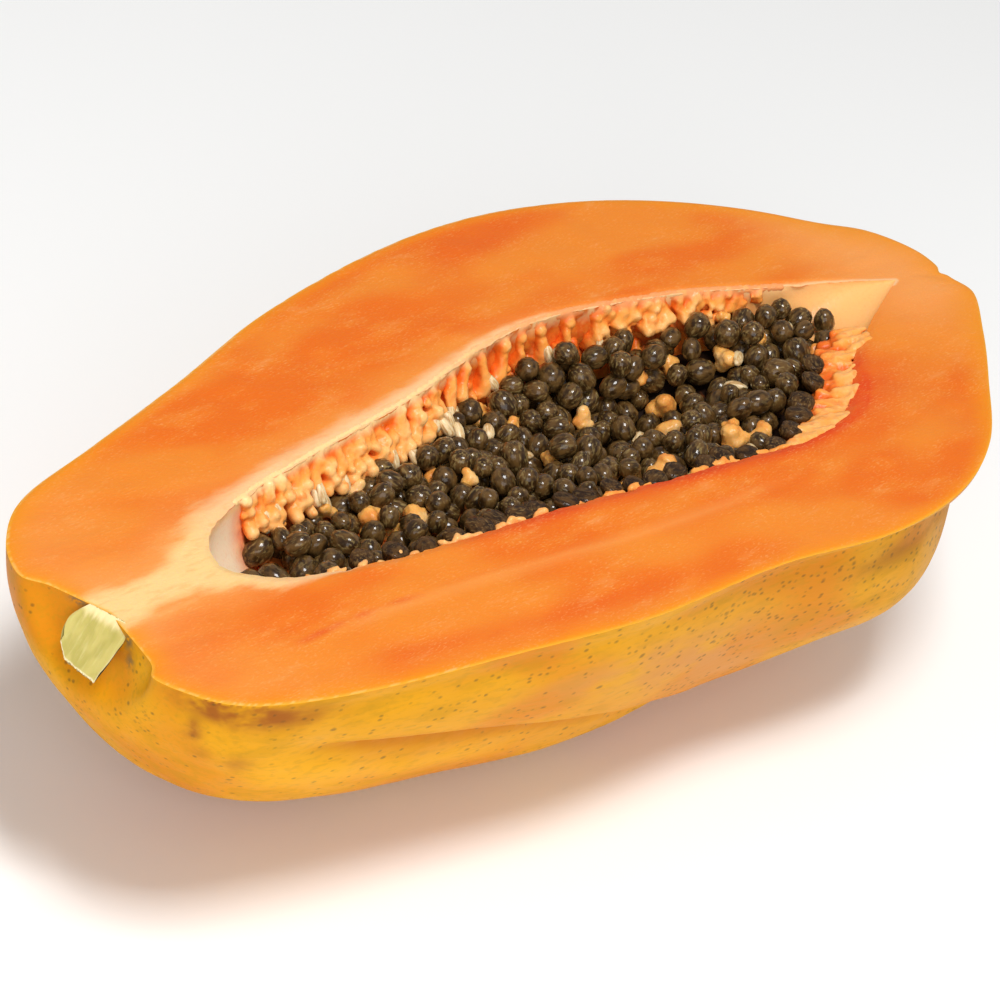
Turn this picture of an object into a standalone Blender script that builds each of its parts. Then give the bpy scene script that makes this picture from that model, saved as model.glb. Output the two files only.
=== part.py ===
"""A ripe papaya cut in half lengthwise, lying on its belly with the cut face up.

X runs from the stem end (-X) to the blossom end (+X), Y goes across the cut face, from the near
side (-Y) to the far side (+Y), and Z points up. The fruit is worked out in its own frame, with
the cut face at Z = 0 and the belly below it, and is then set down with its box centred on the
origin and the flat spot of its belly at Z = 0. All lengths are in metres.
"""

import math
from dataclasses import dataclass

import bmesh
import bpy
from mathutils import Matrix, Vector, noise

# Outer form, from the stem dimple to the blossom tip: distance along the fruit, half width on
# the far side, half width on the near side, and depth of the belly below the cut face.
SKIN_STATIONS = (
    (-0.1490, 0.0000, 0.0000, 0.0000),
    (-0.1535, 0.0140, 0.0170, 0.0135),
    (-0.1570, 0.0215, 0.0230, 0.0225),
    (-0.1500, 0.0330, 0.0360, 0.0350),
    (-0.1365, 0.0425, 0.0440, 0.0495),
    (-0.1100, 0.0495, 0.0515, 0.0625),
    (-0.0750, 0.0585, 0.0580, 0.0715),
    (-0.0350, 0.0700, 0.0650, 0.0760),
    (0.0100, 0.0770, 0.0670, 0.0785),
    (0.0450, 0.0770, 0.0725, 0.0745),
    (0.0750, 0.0705, 0.0700, 0.0755),
    (0.1000, 0.0595, 0.0595, 0.0700),
    (0.1220, 0.0440, 0.0410, 0.0520),
    (0.1380, 0.0270, 0.0260, 0.0340),
    (0.1500, 0.0125, 0.0120, 0.0170),
    (0.1500, 0.0000, 0.0000, 0.0000),
)

# Seed cavity: distance along the fruit, place of the far lip and of the near lip across it, and
# depth of the cavity below the cut face.
CAVITY_STATIONS = (
    (-0.1140, 0.0010, 0.0010, 0.0000),
    (-0.1115, 0.0070, -0.0035, 0.0065),
    (-0.1030, 0.0135, -0.0100, 0.0135),
    (-0.0850, 0.0185, -0.0155, 0.0215),
    (-0.0600, 0.0220, -0.0198, 0.0285),
    (-0.0250, 0.0265, -0.0235, 0.0345),
    (0.0050, 0.0330, -0.0280, 0.0385),
    (0.0300, 0.0350, -0.0315, 0.0400),
    (0.0540, 0.0310, -0.0345, 0.0390),
    (0.0770, 0.0250, -0.0305, 0.0310),
    (0.0950, 0.0178, -0.0170, 0.0175),
    (0.1150, 0.0100, -0.0068, 0.0058),
    (0.1340, 0.0018, 0.0014, 0.0000),
)

SHOULDER_SKEW = 0.0015
SHOULDER_LEAN = 0.0042
SHOULDER_FROM = -0.110
SHOULDER_TO = -0.155
SHOULDER_REACH = 0.030

RIM_BAND = 5.0
CREASE_ROUNDING = 2.0
FURROWS_FROM = -0.150
FURROWS_FULL = -0.110
FURROW_PATH_END = 1.2
FLAT_SPOT_DEPTH = 0.0010

CAVITY_FLOOR_POWER = 0.80
CAVITY_SIDE_POWER = 0.92
CAVITY_SEARCH_STEPS = 40

BED_FROM = -0.1010
BED_TO = 0.1060
BED_GAP = 0.0006
BED_SINK = 0.0068
BED_SLOPE = 0.135
BED_PIT_DEPTH = 0.0075
BED_PIT_AT = (0.0360, 0.0060)
BED_PIT_SIZE = (0.0330, 0.0120)
BED_RISE = 0.0045
BED_RISE_ALONG = (0.0550, 0.0800)
BED_RISE_ACROSS = (0.0000, 0.0140)
SEED_SIZE = 0.0065
SEED_RELIEF = 0.0030
BED_END_POWER = 0.45
BED_TOP_LIMIT = 0.95

STEM_AT = (-0.1497, 0.0005, 0.0)
STEM_DIRECTION = (-0.70, -0.20, -0.68)
STEM_SLICE_NORMAL = (-0.676, -0.130, 0.725)
STEM_END_NORMAL = (-0.725, 0.111, -0.647)
STEM_ROOT_LENGTH = 0.0040
STEM_REACH = 0.0127
STEM_SPARE = 0.0050
STEM_BELOW_SLICE = 0.0012
STEM_RADIUS = 0.0064
STEM_TIP_RADIUS = 0.0060
STEM_SIDES = 16
STEM_GAP = 0.0003

SKIN_RINGS = 56
SKIN_SEGMENTS = 30
CAVITY_SEGMENTS = 14
BED_RINGS = 62
BED_SEGMENTS = 30
SHARP_ANGLE = 50.0

RIND_ORANGE = (0.80, 0.36, 0.02, 1.0)
SEED_BROWN = (0.050, 0.035, 0.018, 1.0)
STEM_GREEN = (0.62, 0.60, 0.20, 1.0)


@dataclass(frozen=True)
class Furrow:
    """A lengthwise furrow between two lobes; angles are in degrees below the near rim."""

    start: float
    swing: float
    path_power: float
    path_from: float
    path_to: float
    depth: float
    width_above: float
    width_below: float
    fade_from: float
    fade_to: float

    def angle(self, x):
        """Give the furrow's angle at a place along the fruit."""
        share = (x - self.path_from) / (self.path_to - self.path_from)
        return self.start + self.swing * min(max(share, 0.0), FURROW_PATH_END) ** self.path_power

    def depth_at(self, x, angle):
        """Give the share of the radius that the furrow takes away."""
        offset = angle - self.angle(x)
        width = self.width_above if offset < 0.0 else self.width_below
        rounded = math.hypot(offset, CREASE_ROUNDING) - CREASE_ROUNDING
        along = ease(FURROWS_FROM, FURROWS_FULL, x) * (1.0 - ease(self.fade_from, self.fade_to, x))
        return self.depth * along * math.exp(-rounded / width)


@dataclass(frozen=True)
class Cheek:
    """A broad swelling of the near side, centred at a place and an angle below the rim."""

    height: float
    x: float
    angle: float
    length: float
    spread: float

    def height_at(self, x, angle):
        """Give the share of the radius that the swelling adds."""
        along = (x - self.x) / self.length
        around = (angle - self.angle) / self.spread
        return self.height * math.exp(-along * along - around * around)


FURROWS = (
    Furrow(18.8, 31.0, 1.3, -0.130, 0.040, 0.055, 3.5, 15.0, 0.100, 0.145),
    Furrow(-14.0, 24.5, 1.0, -0.020, 0.080, 0.080, 5.0, 14.0, 0.120, 0.152),
    Furrow(90.0, 36.0, 1.0, -0.125, 0.100, 0.035, 16.0, 16.0, 0.100, 0.145),
    Furrow(146.0, 26.0, 1.0, -0.125, 0.100, 0.035, 12.0, 12.0, 0.100, 0.145),
)

CHEEKS = (
    Cheek(0.075, 0.082, 28.0, 0.035, 12.5),
    Cheek(0.050, -0.005, 48.5, 0.040, 18.0),
)


def ease(low, high, value):
    """Step smoothly from 0 at low to 1 at high."""
    share = min(max((value - low) / (high - low), 0.0), 1.0)
    return share * share * (3.0 - 2.0 * share)


def spline(rows, place):
    """Read a smooth curve through the rows, with place counted in rows."""
    last = len(rows) - 1
    index = min(int(place), last - 1)
    share = place - index
    before = Vector(rows[max(index - 1, 0)])
    start = Vector(rows[index])
    end = Vector(rows[index + 1])
    after = Vector(rows[min(index + 2, last)])
    if index == 0:
        before = start * 2.0 - end
    if index == last - 1:
        after = end * 2.0 - start
    linear = (end - before) * share
    square = (before * 2.0 - start * 5.0 + end * 4.0 - after) * share**2
    cube = (start * 3.0 - before - end * 3.0 + after) * share**3
    return (start * 2.0 + linear + square + cube) * 0.5


def lobed(x, angle):
    """Give the radius factor of the lobed skin; it is 1 all along the cut rim."""
    inner = ease(0.0, RIM_BAND, angle) * ease(0.0, RIM_BAND, 180.0 - angle)
    furrows = sum(furrow.depth_at(x, angle) for furrow in FURROWS)
    cheeks = sum(cheek.height_at(x, angle) for cheek in CHEEKS)
    return 1.0 - furrows * inner + cheeks * ease(0.0, RIM_BAND * 2.0, angle)


def skin_point(place, turn):
    """Place a point of the skin; turn goes from 0 at the far rim to pi at the near rim."""
    x, far, near, depth = spline(SKIN_STATIONS, place)
    factor = lobed(x, 180.0 - math.degrees(turn))
    half_width = max(far if turn < math.pi / 2.0 else near, 0.0)
    y = half_width * math.cos(turn) * factor
    z = -max(depth, 0.0) * math.sin(turn) * factor
    shoulder = ease(-SHOULDER_FROM, -SHOULDER_TO, -x)
    skew = SHOULDER_SKEW * min(max(y / SHOULDER_REACH, -1.0), 1.0)
    lean = SHOULDER_LEAN * min(-z / SHOULDER_REACH, 2.0)
    return Vector((x + shoulder * (lean - skew), y, z))


def cavity_section(place, turn, inset=0.0):
    """Place a point of the cavity's wall, or of a surface that far inside it."""
    x, far, near, depth = spline(CAVITY_STATIONS, place)
    middle = (far + near) / 2.0
    half_width = max((far - near) / 2.0 - inset, 0.0)
    across = math.copysign(abs(math.cos(turn)) ** CAVITY_SIDE_POWER, math.cos(turn))
    down = max(math.sin(turn), 0.0) ** CAVITY_FLOOR_POWER
    return Vector((x, middle + half_width * across, -max(depth - inset, 0.0) * down))


def cavity_place(x):
    """Find how far along the cavity's rows a place along the fruit lies."""
    low = 0.0
    high = len(CAVITY_STATIONS) - 1.0
    for _ in range(CAVITY_SEARCH_STEPS):
        middle = (low + high) / 2.0
        if spline(CAVITY_STATIONS, middle)[0] < x:
            low = middle
        else:
            high = middle
    return (low + high) / 2.0


def bed_sink(x, y):
    """Give how far the seeds' top lies below the cut face."""
    pit_x = (x - BED_PIT_AT[0]) / BED_PIT_SIZE[0]
    pit_y = (y - BED_PIT_AT[1]) / BED_PIT_SIZE[1]
    pit = BED_PIT_DEPTH * math.exp(-pit_x * pit_x - pit_y * pit_y)
    rise = BED_RISE * ease(*BED_RISE_ALONG, x) * ease(*BED_RISE_ACROSS, y)
    return BED_SINK + BED_SLOPE * y + pit - rise


def bed_point(share, turn):
    """Place a point of the seed bed; turn runs round it from the far wall, down and back."""
    x = BED_FROM + (BED_TO - BED_FROM) * (1.0 - math.cos(math.pi * share)) / 2.0
    place = cavity_place(x)
    floor = cavity_section(place, math.pi / 2.0, BED_GAP)
    walls = []
    for side in (0.0, math.pi):
        edge = cavity_section(place, side, BED_GAP)
        level = min(bed_sink(x, edge.y) / max(-floor.z, BED_GAP), BED_TOP_LIMIT)
        lift = math.asin(level ** (1.0 / CAVITY_FLOOR_POWER))
        walls.append(lift if side == 0.0 else math.pi - lift)
    if turn <= math.pi:
        point = cavity_section(place, walls[0] + (walls[1] - walls[0]) * turn / math.pi, BED_GAP)
    else:
        far = cavity_section(place, walls[0], BED_GAP)
        near = cavity_section(place, walls[1], BED_GAP)
        across = (turn - math.pi) / math.pi
        point = near.lerp(far, across)
        crown = math.sin(math.pi * across)
        nearest = noise.voronoi(Vector((point.x, point.y, 0.0)) / SEED_SIZE)[0][0]
        lumps = 0.5 - nearest
        sink = bed_sink(point.x, point.y)
        level = point.z * (1.0 - crown) - sink * crown
        point.z = level + SEED_RELIEF * lumps * crown
    centre = Vector((x, floor.y, (floor.z - bed_sink(x, floor.y)) / 2.0))
    swell = math.sin(math.pi * share) ** BED_END_POWER if 0.0 < share < 1.0 else 0.0
    return centre.lerp(point, swell)


def add_dome(mesh, rings, segments, place_point, inwards):
    """Shape the lower half of a sphere with its poles on X, and return its open edges."""
    made = bmesh.ops.create_uvsphere(
        mesh,
        u_segments=segments * 2,
        v_segments=rings,
        radius=1.0,
        matrix=Matrix.Rotation(math.radians(90.0), 4, "Y"),
    )
    verts = made["verts"]
    faces = list({face for vert in verts for face in vert.link_faces})
    upper = [face for face in faces if face.calc_center_median().z > 0.0]
    bmesh.ops.delete(mesh, geom=upper, context="FACES")
    verts = [vert for vert in verts if vert.is_valid]
    for vert in verts:
        share = math.acos(min(max(-vert.co.x, -1.0), 1.0)) / math.pi
        turn = math.atan2(max(-vert.co.z, 0.0), vert.co.y)
        vert.co = place_point(share, turn)
    faces = list({face for vert in verts for face in vert.link_faces})
    if inwards:
        bmesh.ops.reverse_faces(mesh, faces=faces)
    edges = {edge for vert in verts for edge in vert.link_edges}
    return [edge for edge in edges if edge.is_boundary]


def flatten_belly(mesh):
    """Press the lowest part of the belly to a small flat spot."""
    lowest = min(vert.co.z for vert in mesh.verts)
    flat = lowest + FLAT_SPOT_DEPTH
    for vert in mesh.verts:
        vert.co.z = max(vert.co.z, flat)


def material(name, colour, roughness):
    """Make a plain Principled material."""
    made = bpy.data.materials.new(name)
    made.use_nodes = True
    shader = made.node_tree.nodes["Principled BSDF"]
    shader.inputs["Base Color"].default_value = colour
    shader.inputs["Roughness"].default_value = roughness
    shader.inputs["Metallic"].default_value = 0.0
    return made


def add_object(name, mesh, finish):
    """Turn a finished bmesh into an object of the scene."""
    data = bpy.data.meshes.new(name)
    mesh.to_mesh(data)
    mesh.free()
    made = bpy.data.objects.new(name, data)
    bpy.context.scene.collection.objects.link(made)
    if finish:
        data.materials.append(finish)
    return made


def make_fruit():
    """Model the rind and flesh as one solid, with the open seed cavity in its cut face."""
    mesh = bmesh.new()
    skin_spans = len(SKIN_STATIONS) - 1
    cavity_spans = len(CAVITY_STATIONS) - 1
    rim = add_dome(
        mesh, SKIN_RINGS, SKIN_SEGMENTS, lambda share, turn: skin_point(share * skin_spans, turn), False
    )
    flatten_belly(mesh)
    lip = add_dome(
        mesh,
        SKIN_RINGS,
        CAVITY_SEGMENTS,
        lambda share, turn: cavity_section(share * cavity_spans, turn),
        True,
    )
    bmesh.ops.bridge_loops(mesh, edges=rim + lip)
    bmesh.ops.triangulate(mesh, faces=mesh.faces[:], quad_method="SHORT_EDGE")
    bmesh.ops.recalc_face_normals(mesh, faces=mesh.faces[:])
    fruit = add_object("papaya_half", mesh, material("papaya_rind_and_flesh", RIND_ORANGE, 0.45))
    fruit.data.shade_smooth()
    fruit.data.set_sharp_from_angle(angle=math.radians(SHARP_ANGLE))
    return fruit


def make_seed_bed():
    """Model the heap of seeds and pulp as one solid out to its uneven top."""
    mesh = bmesh.new()
    bmesh.ops.create_uvsphere(
        mesh,
        u_segments=BED_SEGMENTS,
        v_segments=BED_RINGS,
        radius=1.0,
        matrix=Matrix.Rotation(math.radians(90.0), 4, "Y"),
    )
    for vert in mesh.verts:
        share = math.acos(min(max(-vert.co.x, -1.0), 1.0)) / math.pi
        turn = math.atan2(-vert.co.z, vert.co.y) % (2.0 * math.pi)
        vert.co = bed_point(share, turn)
    bmesh.ops.triangulate(mesh, faces=mesh.faces[:], quad_method="SHORT_EDGE")
    bmesh.ops.recalc_face_normals(mesh, faces=mesh.faces[:])
    return add_object("seed_bed", mesh, material("papaya_seeds", SEED_BROWN, 0.30))


def cut_away(mesh, point, normal):
    """Slice the mesh with a plane, drop what lies on its normal's side and close the cut."""
    cut = bmesh.ops.bisect_plane(
        mesh,
        geom=mesh.verts[:] + mesh.edges[:] + mesh.faces[:],
        plane_co=point,
        plane_no=normal,
        clear_outer=True,
    )
    open_edges = [item for item in cut["geom_cut"] if isinstance(item, bmesh.types.BMEdge)]
    bmesh.ops.edgeloop_fill(mesh, edges=open_edges)


def make_stem_solid(name, grow, finish):
    """Model the obliquely sliced stump of the stalk, grown all round by a clearance."""
    mesh = bmesh.new()
    direction = Vector(STEM_DIRECTION).normalized()
    slice_normal = Vector(STEM_SLICE_NORMAL).normalized()
    turned = direction.to_track_quat("Z", "Y").to_matrix().to_4x4()
    length = STEM_ROOT_LENGTH + STEM_REACH + STEM_SPARE
    root = Vector(STEM_AT) - direction * STEM_ROOT_LENGTH - slice_normal * STEM_BELOW_SLICE
    bmesh.ops.create_cone(
        mesh,
        cap_ends=True,
        segments=STEM_SIDES,
        radius1=STEM_RADIUS + grow,
        radius2=STEM_TIP_RADIUS + grow,
        depth=length + 2.0 * grow,
        matrix=Matrix.Translation(root + direction * length / 2.0) @ turned,
    )
    if not grow:
        cut_away(mesh, Vector(STEM_AT), slice_normal)
        cut_away(mesh, Vector((0.0, 0.0, 0.0)), Vector((0.0, 0.0, 1.0)))
        cut_away(mesh, Vector(STEM_AT) + direction * STEM_REACH, Vector(STEM_END_NORMAL))
    bmesh.ops.triangulate(mesh, faces=mesh.faces[:])
    bmesh.ops.recalc_face_normals(mesh, faces=mesh.faces[:])
    return add_object(name, mesh, finish)


def make_stem(fruit):
    """Set the stalk's stump into a socket in the stem dimple."""
    stub = make_stem_solid("stem_stub", 0.0, material("papaya_stalk", STEM_GREEN, 0.55))
    cutter = make_stem_solid("stem_socket", STEM_GAP, None)
    cutter.hide_render = True
    cutter.display_type = "WIRE"
    socket = fruit.modifiers.new("stem_socket", "BOOLEAN")
    socket.operation = "DIFFERENCE"
    socket.solver = "EXACT"
    socket.object = cutter
    return [stub, cutter]


def set_down(objects, shown):
    """Centre the shown objects' box on the origin and stand it on Z = 0."""
    corners = [vert.co for item in shown for vert in item.data.vertices]
    low = Vector([min(corner[axis] for corner in corners) for axis in range(3)])
    high = Vector([max(corner[axis] for corner in corners) for axis in range(3)])
    shift = Vector((-(low.x + high.x) / 2.0, -(low.y + high.y) / 2.0, -low.z))
    for item in objects:
        item.data.transform(Matrix.Translation(shift))


def main():
    """Build the papaya half."""
    for item in list(bpy.data.objects):
        bpy.data.objects.remove(item, do_unlink=True)
    fruit = make_fruit()
    bed = make_seed_bed()
    stub, cutter = make_stem(fruit)
    set_down([fruit, bed, stub, cutter], [fruit, bed, stub])


main()
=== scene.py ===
"""Looks of a ripe papaya half that lies on its belly with the cut face up.

The fruit's own frame has the cut face at Z = 0, the belly below it, X from the stem end to the
blossom end, and Y from the near side to the far side. Every piece is worked out there, and is set
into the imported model's frame by one shift that the model's box gives. Lengths are in metres, and
fields whose names end in _mm are in millimetres.
"""

import logging
import math
from collections.abc import Callable, Sequence
from dataclasses import dataclass, field
from enum import Enum
from functools import cached_property, partial

import bpy
import numpy as np
from mathutils import Euler, Matrix, Vector, noise


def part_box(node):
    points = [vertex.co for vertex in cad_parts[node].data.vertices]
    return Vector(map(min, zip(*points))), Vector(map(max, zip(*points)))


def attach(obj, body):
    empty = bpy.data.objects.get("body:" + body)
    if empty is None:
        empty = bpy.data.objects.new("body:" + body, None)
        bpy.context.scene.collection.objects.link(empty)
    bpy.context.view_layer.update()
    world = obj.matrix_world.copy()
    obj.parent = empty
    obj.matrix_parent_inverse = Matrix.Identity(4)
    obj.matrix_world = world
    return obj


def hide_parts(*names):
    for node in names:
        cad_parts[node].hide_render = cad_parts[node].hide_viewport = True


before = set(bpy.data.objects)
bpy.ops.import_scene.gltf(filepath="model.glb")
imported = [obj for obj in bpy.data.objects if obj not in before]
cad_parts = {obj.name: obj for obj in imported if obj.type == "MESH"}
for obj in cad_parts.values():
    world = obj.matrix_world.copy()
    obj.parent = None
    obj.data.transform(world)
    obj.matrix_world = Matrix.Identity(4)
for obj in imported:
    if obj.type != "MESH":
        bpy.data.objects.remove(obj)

LOG = logging.getLogger("papaya")
MM = 0.001
RANDOM_START = 11
MERGE_MM = 0.01

Array = np.ndarray
Number = float | np.ndarray
Triple = tuple[float, float, float]
Place = Callable[[Array, Array], Array]
Piece = bpy.types.Object
Socket = bpy.types.NodeSocket
Material = bpy.types.Material
Value = float | int | tuple | Socket
Inputs = Sequence[Value] | dict[str | int, Value]
Colour = str | Socket

SOFT = {"interpolation_type": "SMOOTHSTEP"}
TIMES = {"operation": "MULTIPLY"}
TIMES_PLUS = {"operation": "MULTIPLY_ADD"}


def ease(low: Number, high: Number, value: Number) -> Number:
    """Step smoothly from 0 at low to 1 at high.

    Args:
        low: where the step starts.
        high: where the step ends.
        value: the numbers to read the step at.

    Returns:
        The height of the step at each value.
    """
    share = np.clip((value - low) / (high - low), 0.0, 1.0)
    return share * share * (3.0 - 2.0 * share)


def between(value: Number, rise: tuple[float, float], fall: tuple[float, float]) -> Number:
    """Give 1 between a rise and a fall, each a span, and 0 outside them."""
    return ease(*rise, value) * (1.0 - ease(*fall, value))


def spline(rows: Sequence[Sequence[float]], place: Array) -> Array:
    """Read a smooth curve through rows of numbers.

    Args:
        rows: the numbers that the curve passes through.
        place: how far along the curve to read it, counted in rows.

    Returns:
        One row of numbers for each place.
    """
    knots = np.array(rows)
    first = knots[:1] * 2.0 - knots[1:2]
    final = knots[-1:] * 2.0 - knots[-2:-1]
    knots = np.vstack([first, knots, final])
    index = np.minimum(place.astype(int), len(rows) - 2)
    share = (place - index)[..., None]
    before, start, end, after = (knots[index + step] for step in range(4))
    slope = (end - before) * share
    bend = (before * 2.0 - start * 5.0 + end * 4.0 - after) * share**2
    twist = (start * 3.0 - before - end * 3.0 + after) * share**3
    return (start * 2.0 + slope + bend + twist) * 0.5


def bell(value: Number, centre: Number, reach: Number) -> Number:
    """Give a smooth hump of height 1 at the centre, which fades over the reach."""
    return np.exp(-(((value - centre) / reach) ** 2))


def fractal(points: Array, size_mm: Sequence[float] | float, octaves: int = 2) -> Array:
    """Read smooth noise at many points.

    Args:
        points: places in metres, one row each.
        size_mm: size of the noise's features, for all axes or for each one.
        octaves: number of finer layers.

    Returns:
        A number between about -1 and 1 for each point.
    """
    scaled = points / (np.array(size_mm) * MM)
    return np.array([noise.fractal(Vector(point), 0.6, 2.0, octaves) for point in scaled])


def linear(code: str) -> tuple[float, float, float, float]:
    """Turn an sRGB hex colour to linear light.

    Args:
        code: six hex digits after a #.

    Returns:
        Red, green, blue and an alpha of 1.
    """
    parts = [int(code[start : start + 2], 16) / 255.0 for start in (1, 3, 5)]
    light = [part / 12.92 if part <= 0.04045 else ((part + 0.055) / 1.055) ** 2.4 for part in parts]
    return (*light, 1.0)


def glow(weight: float, radius: Triple, scale_mm: float) -> dict[str, Value]:
    """Give the shader's values for light that spreads under a moist surface."""
    return {"Subsurface Weight": weight, "Subsurface Radius": radius, "Subsurface Scale": scale_mm * MM}


def per(size_mm: float) -> float:
    """Give the texture scale whose features are about this size on a model in metres."""
    return 1.0 / (size_mm * MM)


def wire(
    tree: bpy.types.NodeTree, kind: str, inputs: Inputs = (), output: str | int = 0, **settings: object
) -> Socket:
    """Add one node with its settings, values and links.

    Args:
        tree: the material's node tree.
        kind: the node's type, without the word ShaderNode.
        inputs: plain values or linked sockets, in the node's order or by name or number.
        output: the output that is handed back.
        **settings: properties of the node.

    Returns:
        The chosen output socket.
    """
    made = tree.nodes.new("ShaderNode" + kind)
    for key, setting in settings.items():
        setattr(made, key, setting)
    for key, value in inputs.items() if isinstance(inputs, dict) else enumerate(inputs):
        if isinstance(value, Socket):
            tree.links.new(value, made.inputs[key])
        else:
            made.inputs[key].default_value = value
    return made.outputs[output]


class Recipe:
    """A material that is written down step by step."""

    def __init__(self, name: str) -> None:
        """Start an empty material of that name."""
        self.material = bpy.data.materials.new(name)
        self.material.use_nodes = True
        self.material.node_tree.nodes.clear()
        self.step = partial(wire, self.material.node_tree)
        self.here = self.step("TexCoord", output="Object")

    def traits(self, *names: str) -> list[Socket]:
        """Read some of the mesh's own attributes."""
        return [self.step("Attribute", output="Fac", attribute_name=name) for name in names]

    def grain(
        self, size_mm: float, stretch: Triple = (1.0, 1.0, 1.0), detail: float = 3.0, place: str | None = None
    ) -> Socket:
        """Lay noise over the piece.

        Args:
            size_mm: size of its features.
            stretch: how much finer it is along each axis.
            detail: number of finer layers.
            place: attribute that holds the coordinates, or None for the object's own.

        Returns:
            The noise as a number around 0.5.
        """
        source = self.step("Attribute", output="Vector", attribute_name=place) if place else self.here
        aligned = self.step("Mapping", {"Vector": source, "Scale": stretch})
        return self.step("TexNoise", {"Vector": aligned, "Scale": per(size_mm), "Detail": detail})

    def lay(self, ground: Colour, *layers: tuple[Value, Colour]) -> Socket:
        """Lay colours over one another.

        Args:
            ground: the lowest colour, as a hex code or a socket.
            *layers: a share and a colour for each layer, from the lowest up.

        Returns:
            The mixed colour.
        """
        colour = linear(ground) if isinstance(ground, str) else ground
        for share, over in layers:
            tint = linear(over) if isinstance(over, str) else over
            colour = self.step("Mix", {0: share, 6: colour, 7: tint}, 2, data_type="RGBA")
        return colour

    def finish(self, inputs: dict[str, Value]) -> Material:
        """Close the recipe with its shader and hand back the material."""
        shader = self.step("BsdfPrincipled", inputs)
        out = self.material.node_tree.nodes.new("ShaderNodeOutputMaterial")
        self.material.node_tree.links.new(shader, out.inputs["Surface"])
        return self.material


def points_of(piece: Piece) -> Array:
    """Read a mesh's vertices, one row each."""
    flat = np.empty(len(piece.data.vertices) * 3)
    piece.data.vertices.foreach_get("co", flat)
    return flat.reshape(-1, 3)


def move_points(piece: Piece, points: Array) -> None:
    """Write a mesh's vertices."""
    piece.data.vertices.foreach_set("co", points.astype(np.float32).ravel())
    piece.data.update()


def set_trait(piece: Piece, name: str, values: Array, kind: str = "FLOAT") -> None:
    """Store one attribute on a mesh's vertices.

    Args:
        piece: the object.
        name: the attribute's name.
        values: one number or one row for each vertex.
        kind: FLOAT or FLOAT_VECTOR.
    """
    made = piece.data.attributes.new(name, kind, "POINT")
    key = "value" if kind == "FLOAT" else "vector"
    made.data.foreach_set(key, np.asarray(values, dtype=np.float32).ravel())


def deselect() -> None:
    """Deselect everything."""
    bpy.ops.object.select_all(action="DESELECT")


def pick(pieces: Sequence[Piece]) -> None:
    """Select only these objects, the first one active."""
    deselect()
    for piece in pieces:
        piece.select_set(True)
    bpy.context.view_layer.objects.active = pieces[0]


def join(name: str, pieces: Sequence[Piece]) -> Piece:
    """Join objects to one mesh and merge the points that meet.

    Args:
        name: the joined piece's name.
        pieces: the objects to join.

    Returns:
        The joined piece.
    """
    pick(pieces)
    bpy.ops.object.join()
    joined = bpy.context.object
    joined.name = name
    joined.data.name = name
    bpy.ops.object.mode_set(mode="EDIT")
    bpy.ops.mesh.select_all(action="SELECT")
    bpy.ops.mesh.remove_doubles(threshold=MERGE_MM * MM)
    bpy.ops.mesh.dissolve_degenerate(threshold=MERGE_MM * MM * 0.1)
    bpy.ops.mesh.normals_make_consistent(inside=False)
    bpy.ops.object.mode_set(mode="OBJECT")
    return joined


def smooth(piece: Piece, angle: float) -> None:
    """Shade a piece smooth except over edges that are sharper than the angle in degrees."""
    pick([piece])
    bpy.ops.object.shade_smooth_by_angle(angle=math.radians(angle))


def apply_modifiers(piece: Piece) -> None:
    """Apply all of a piece's modifiers in order."""
    pick([piece])
    for modifier in list(piece.modifiers):
        bpy.ops.object.modifier_apply(modifier=modifier.name)


@dataclass(frozen=True)
class Furrow:
    """A lengthwise furrow between two lobes; angles are in degrees below the near rim."""

    start: float
    swing: float
    path_power: float
    path_from: float
    path_to: float
    depth: float
    width_above: float
    width_below: float
    fade_from: float
    fade_to: float
    fade_in: tuple[float, float] = (-0.150, -0.110)
    path_end: float = 1.2
    rounding: float = 2.0

    def depth_at(self, x: Array, angle: Array) -> Array:
        """Give the share of the radius that the furrow takes away."""
        share = np.clip((x - self.path_from) / (self.path_to - self.path_from), 0.0, self.path_end)
        offset = angle - (self.start + self.swing * share**self.path_power)
        width = np.where(offset < 0.0, self.width_above, self.width_below)
        rounded = np.hypot(offset, self.rounding) - self.rounding
        along = between(x, self.fade_in, (self.fade_from, self.fade_to))
        return self.depth * along * np.exp(-rounded / width)


@dataclass(frozen=True)
class Cheek:
    """A broad swelling of the near side, centred at a place and an angle below the rim."""

    height: float
    x: float
    angle: float
    length: float
    spread: float

    def height_at(self, x: Array, angle: Array) -> Array:
        """Give the share of the radius that the swelling adds."""
        return self.height * bell(x, self.x, self.length) * bell(angle, self.angle, self.spread)


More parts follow.
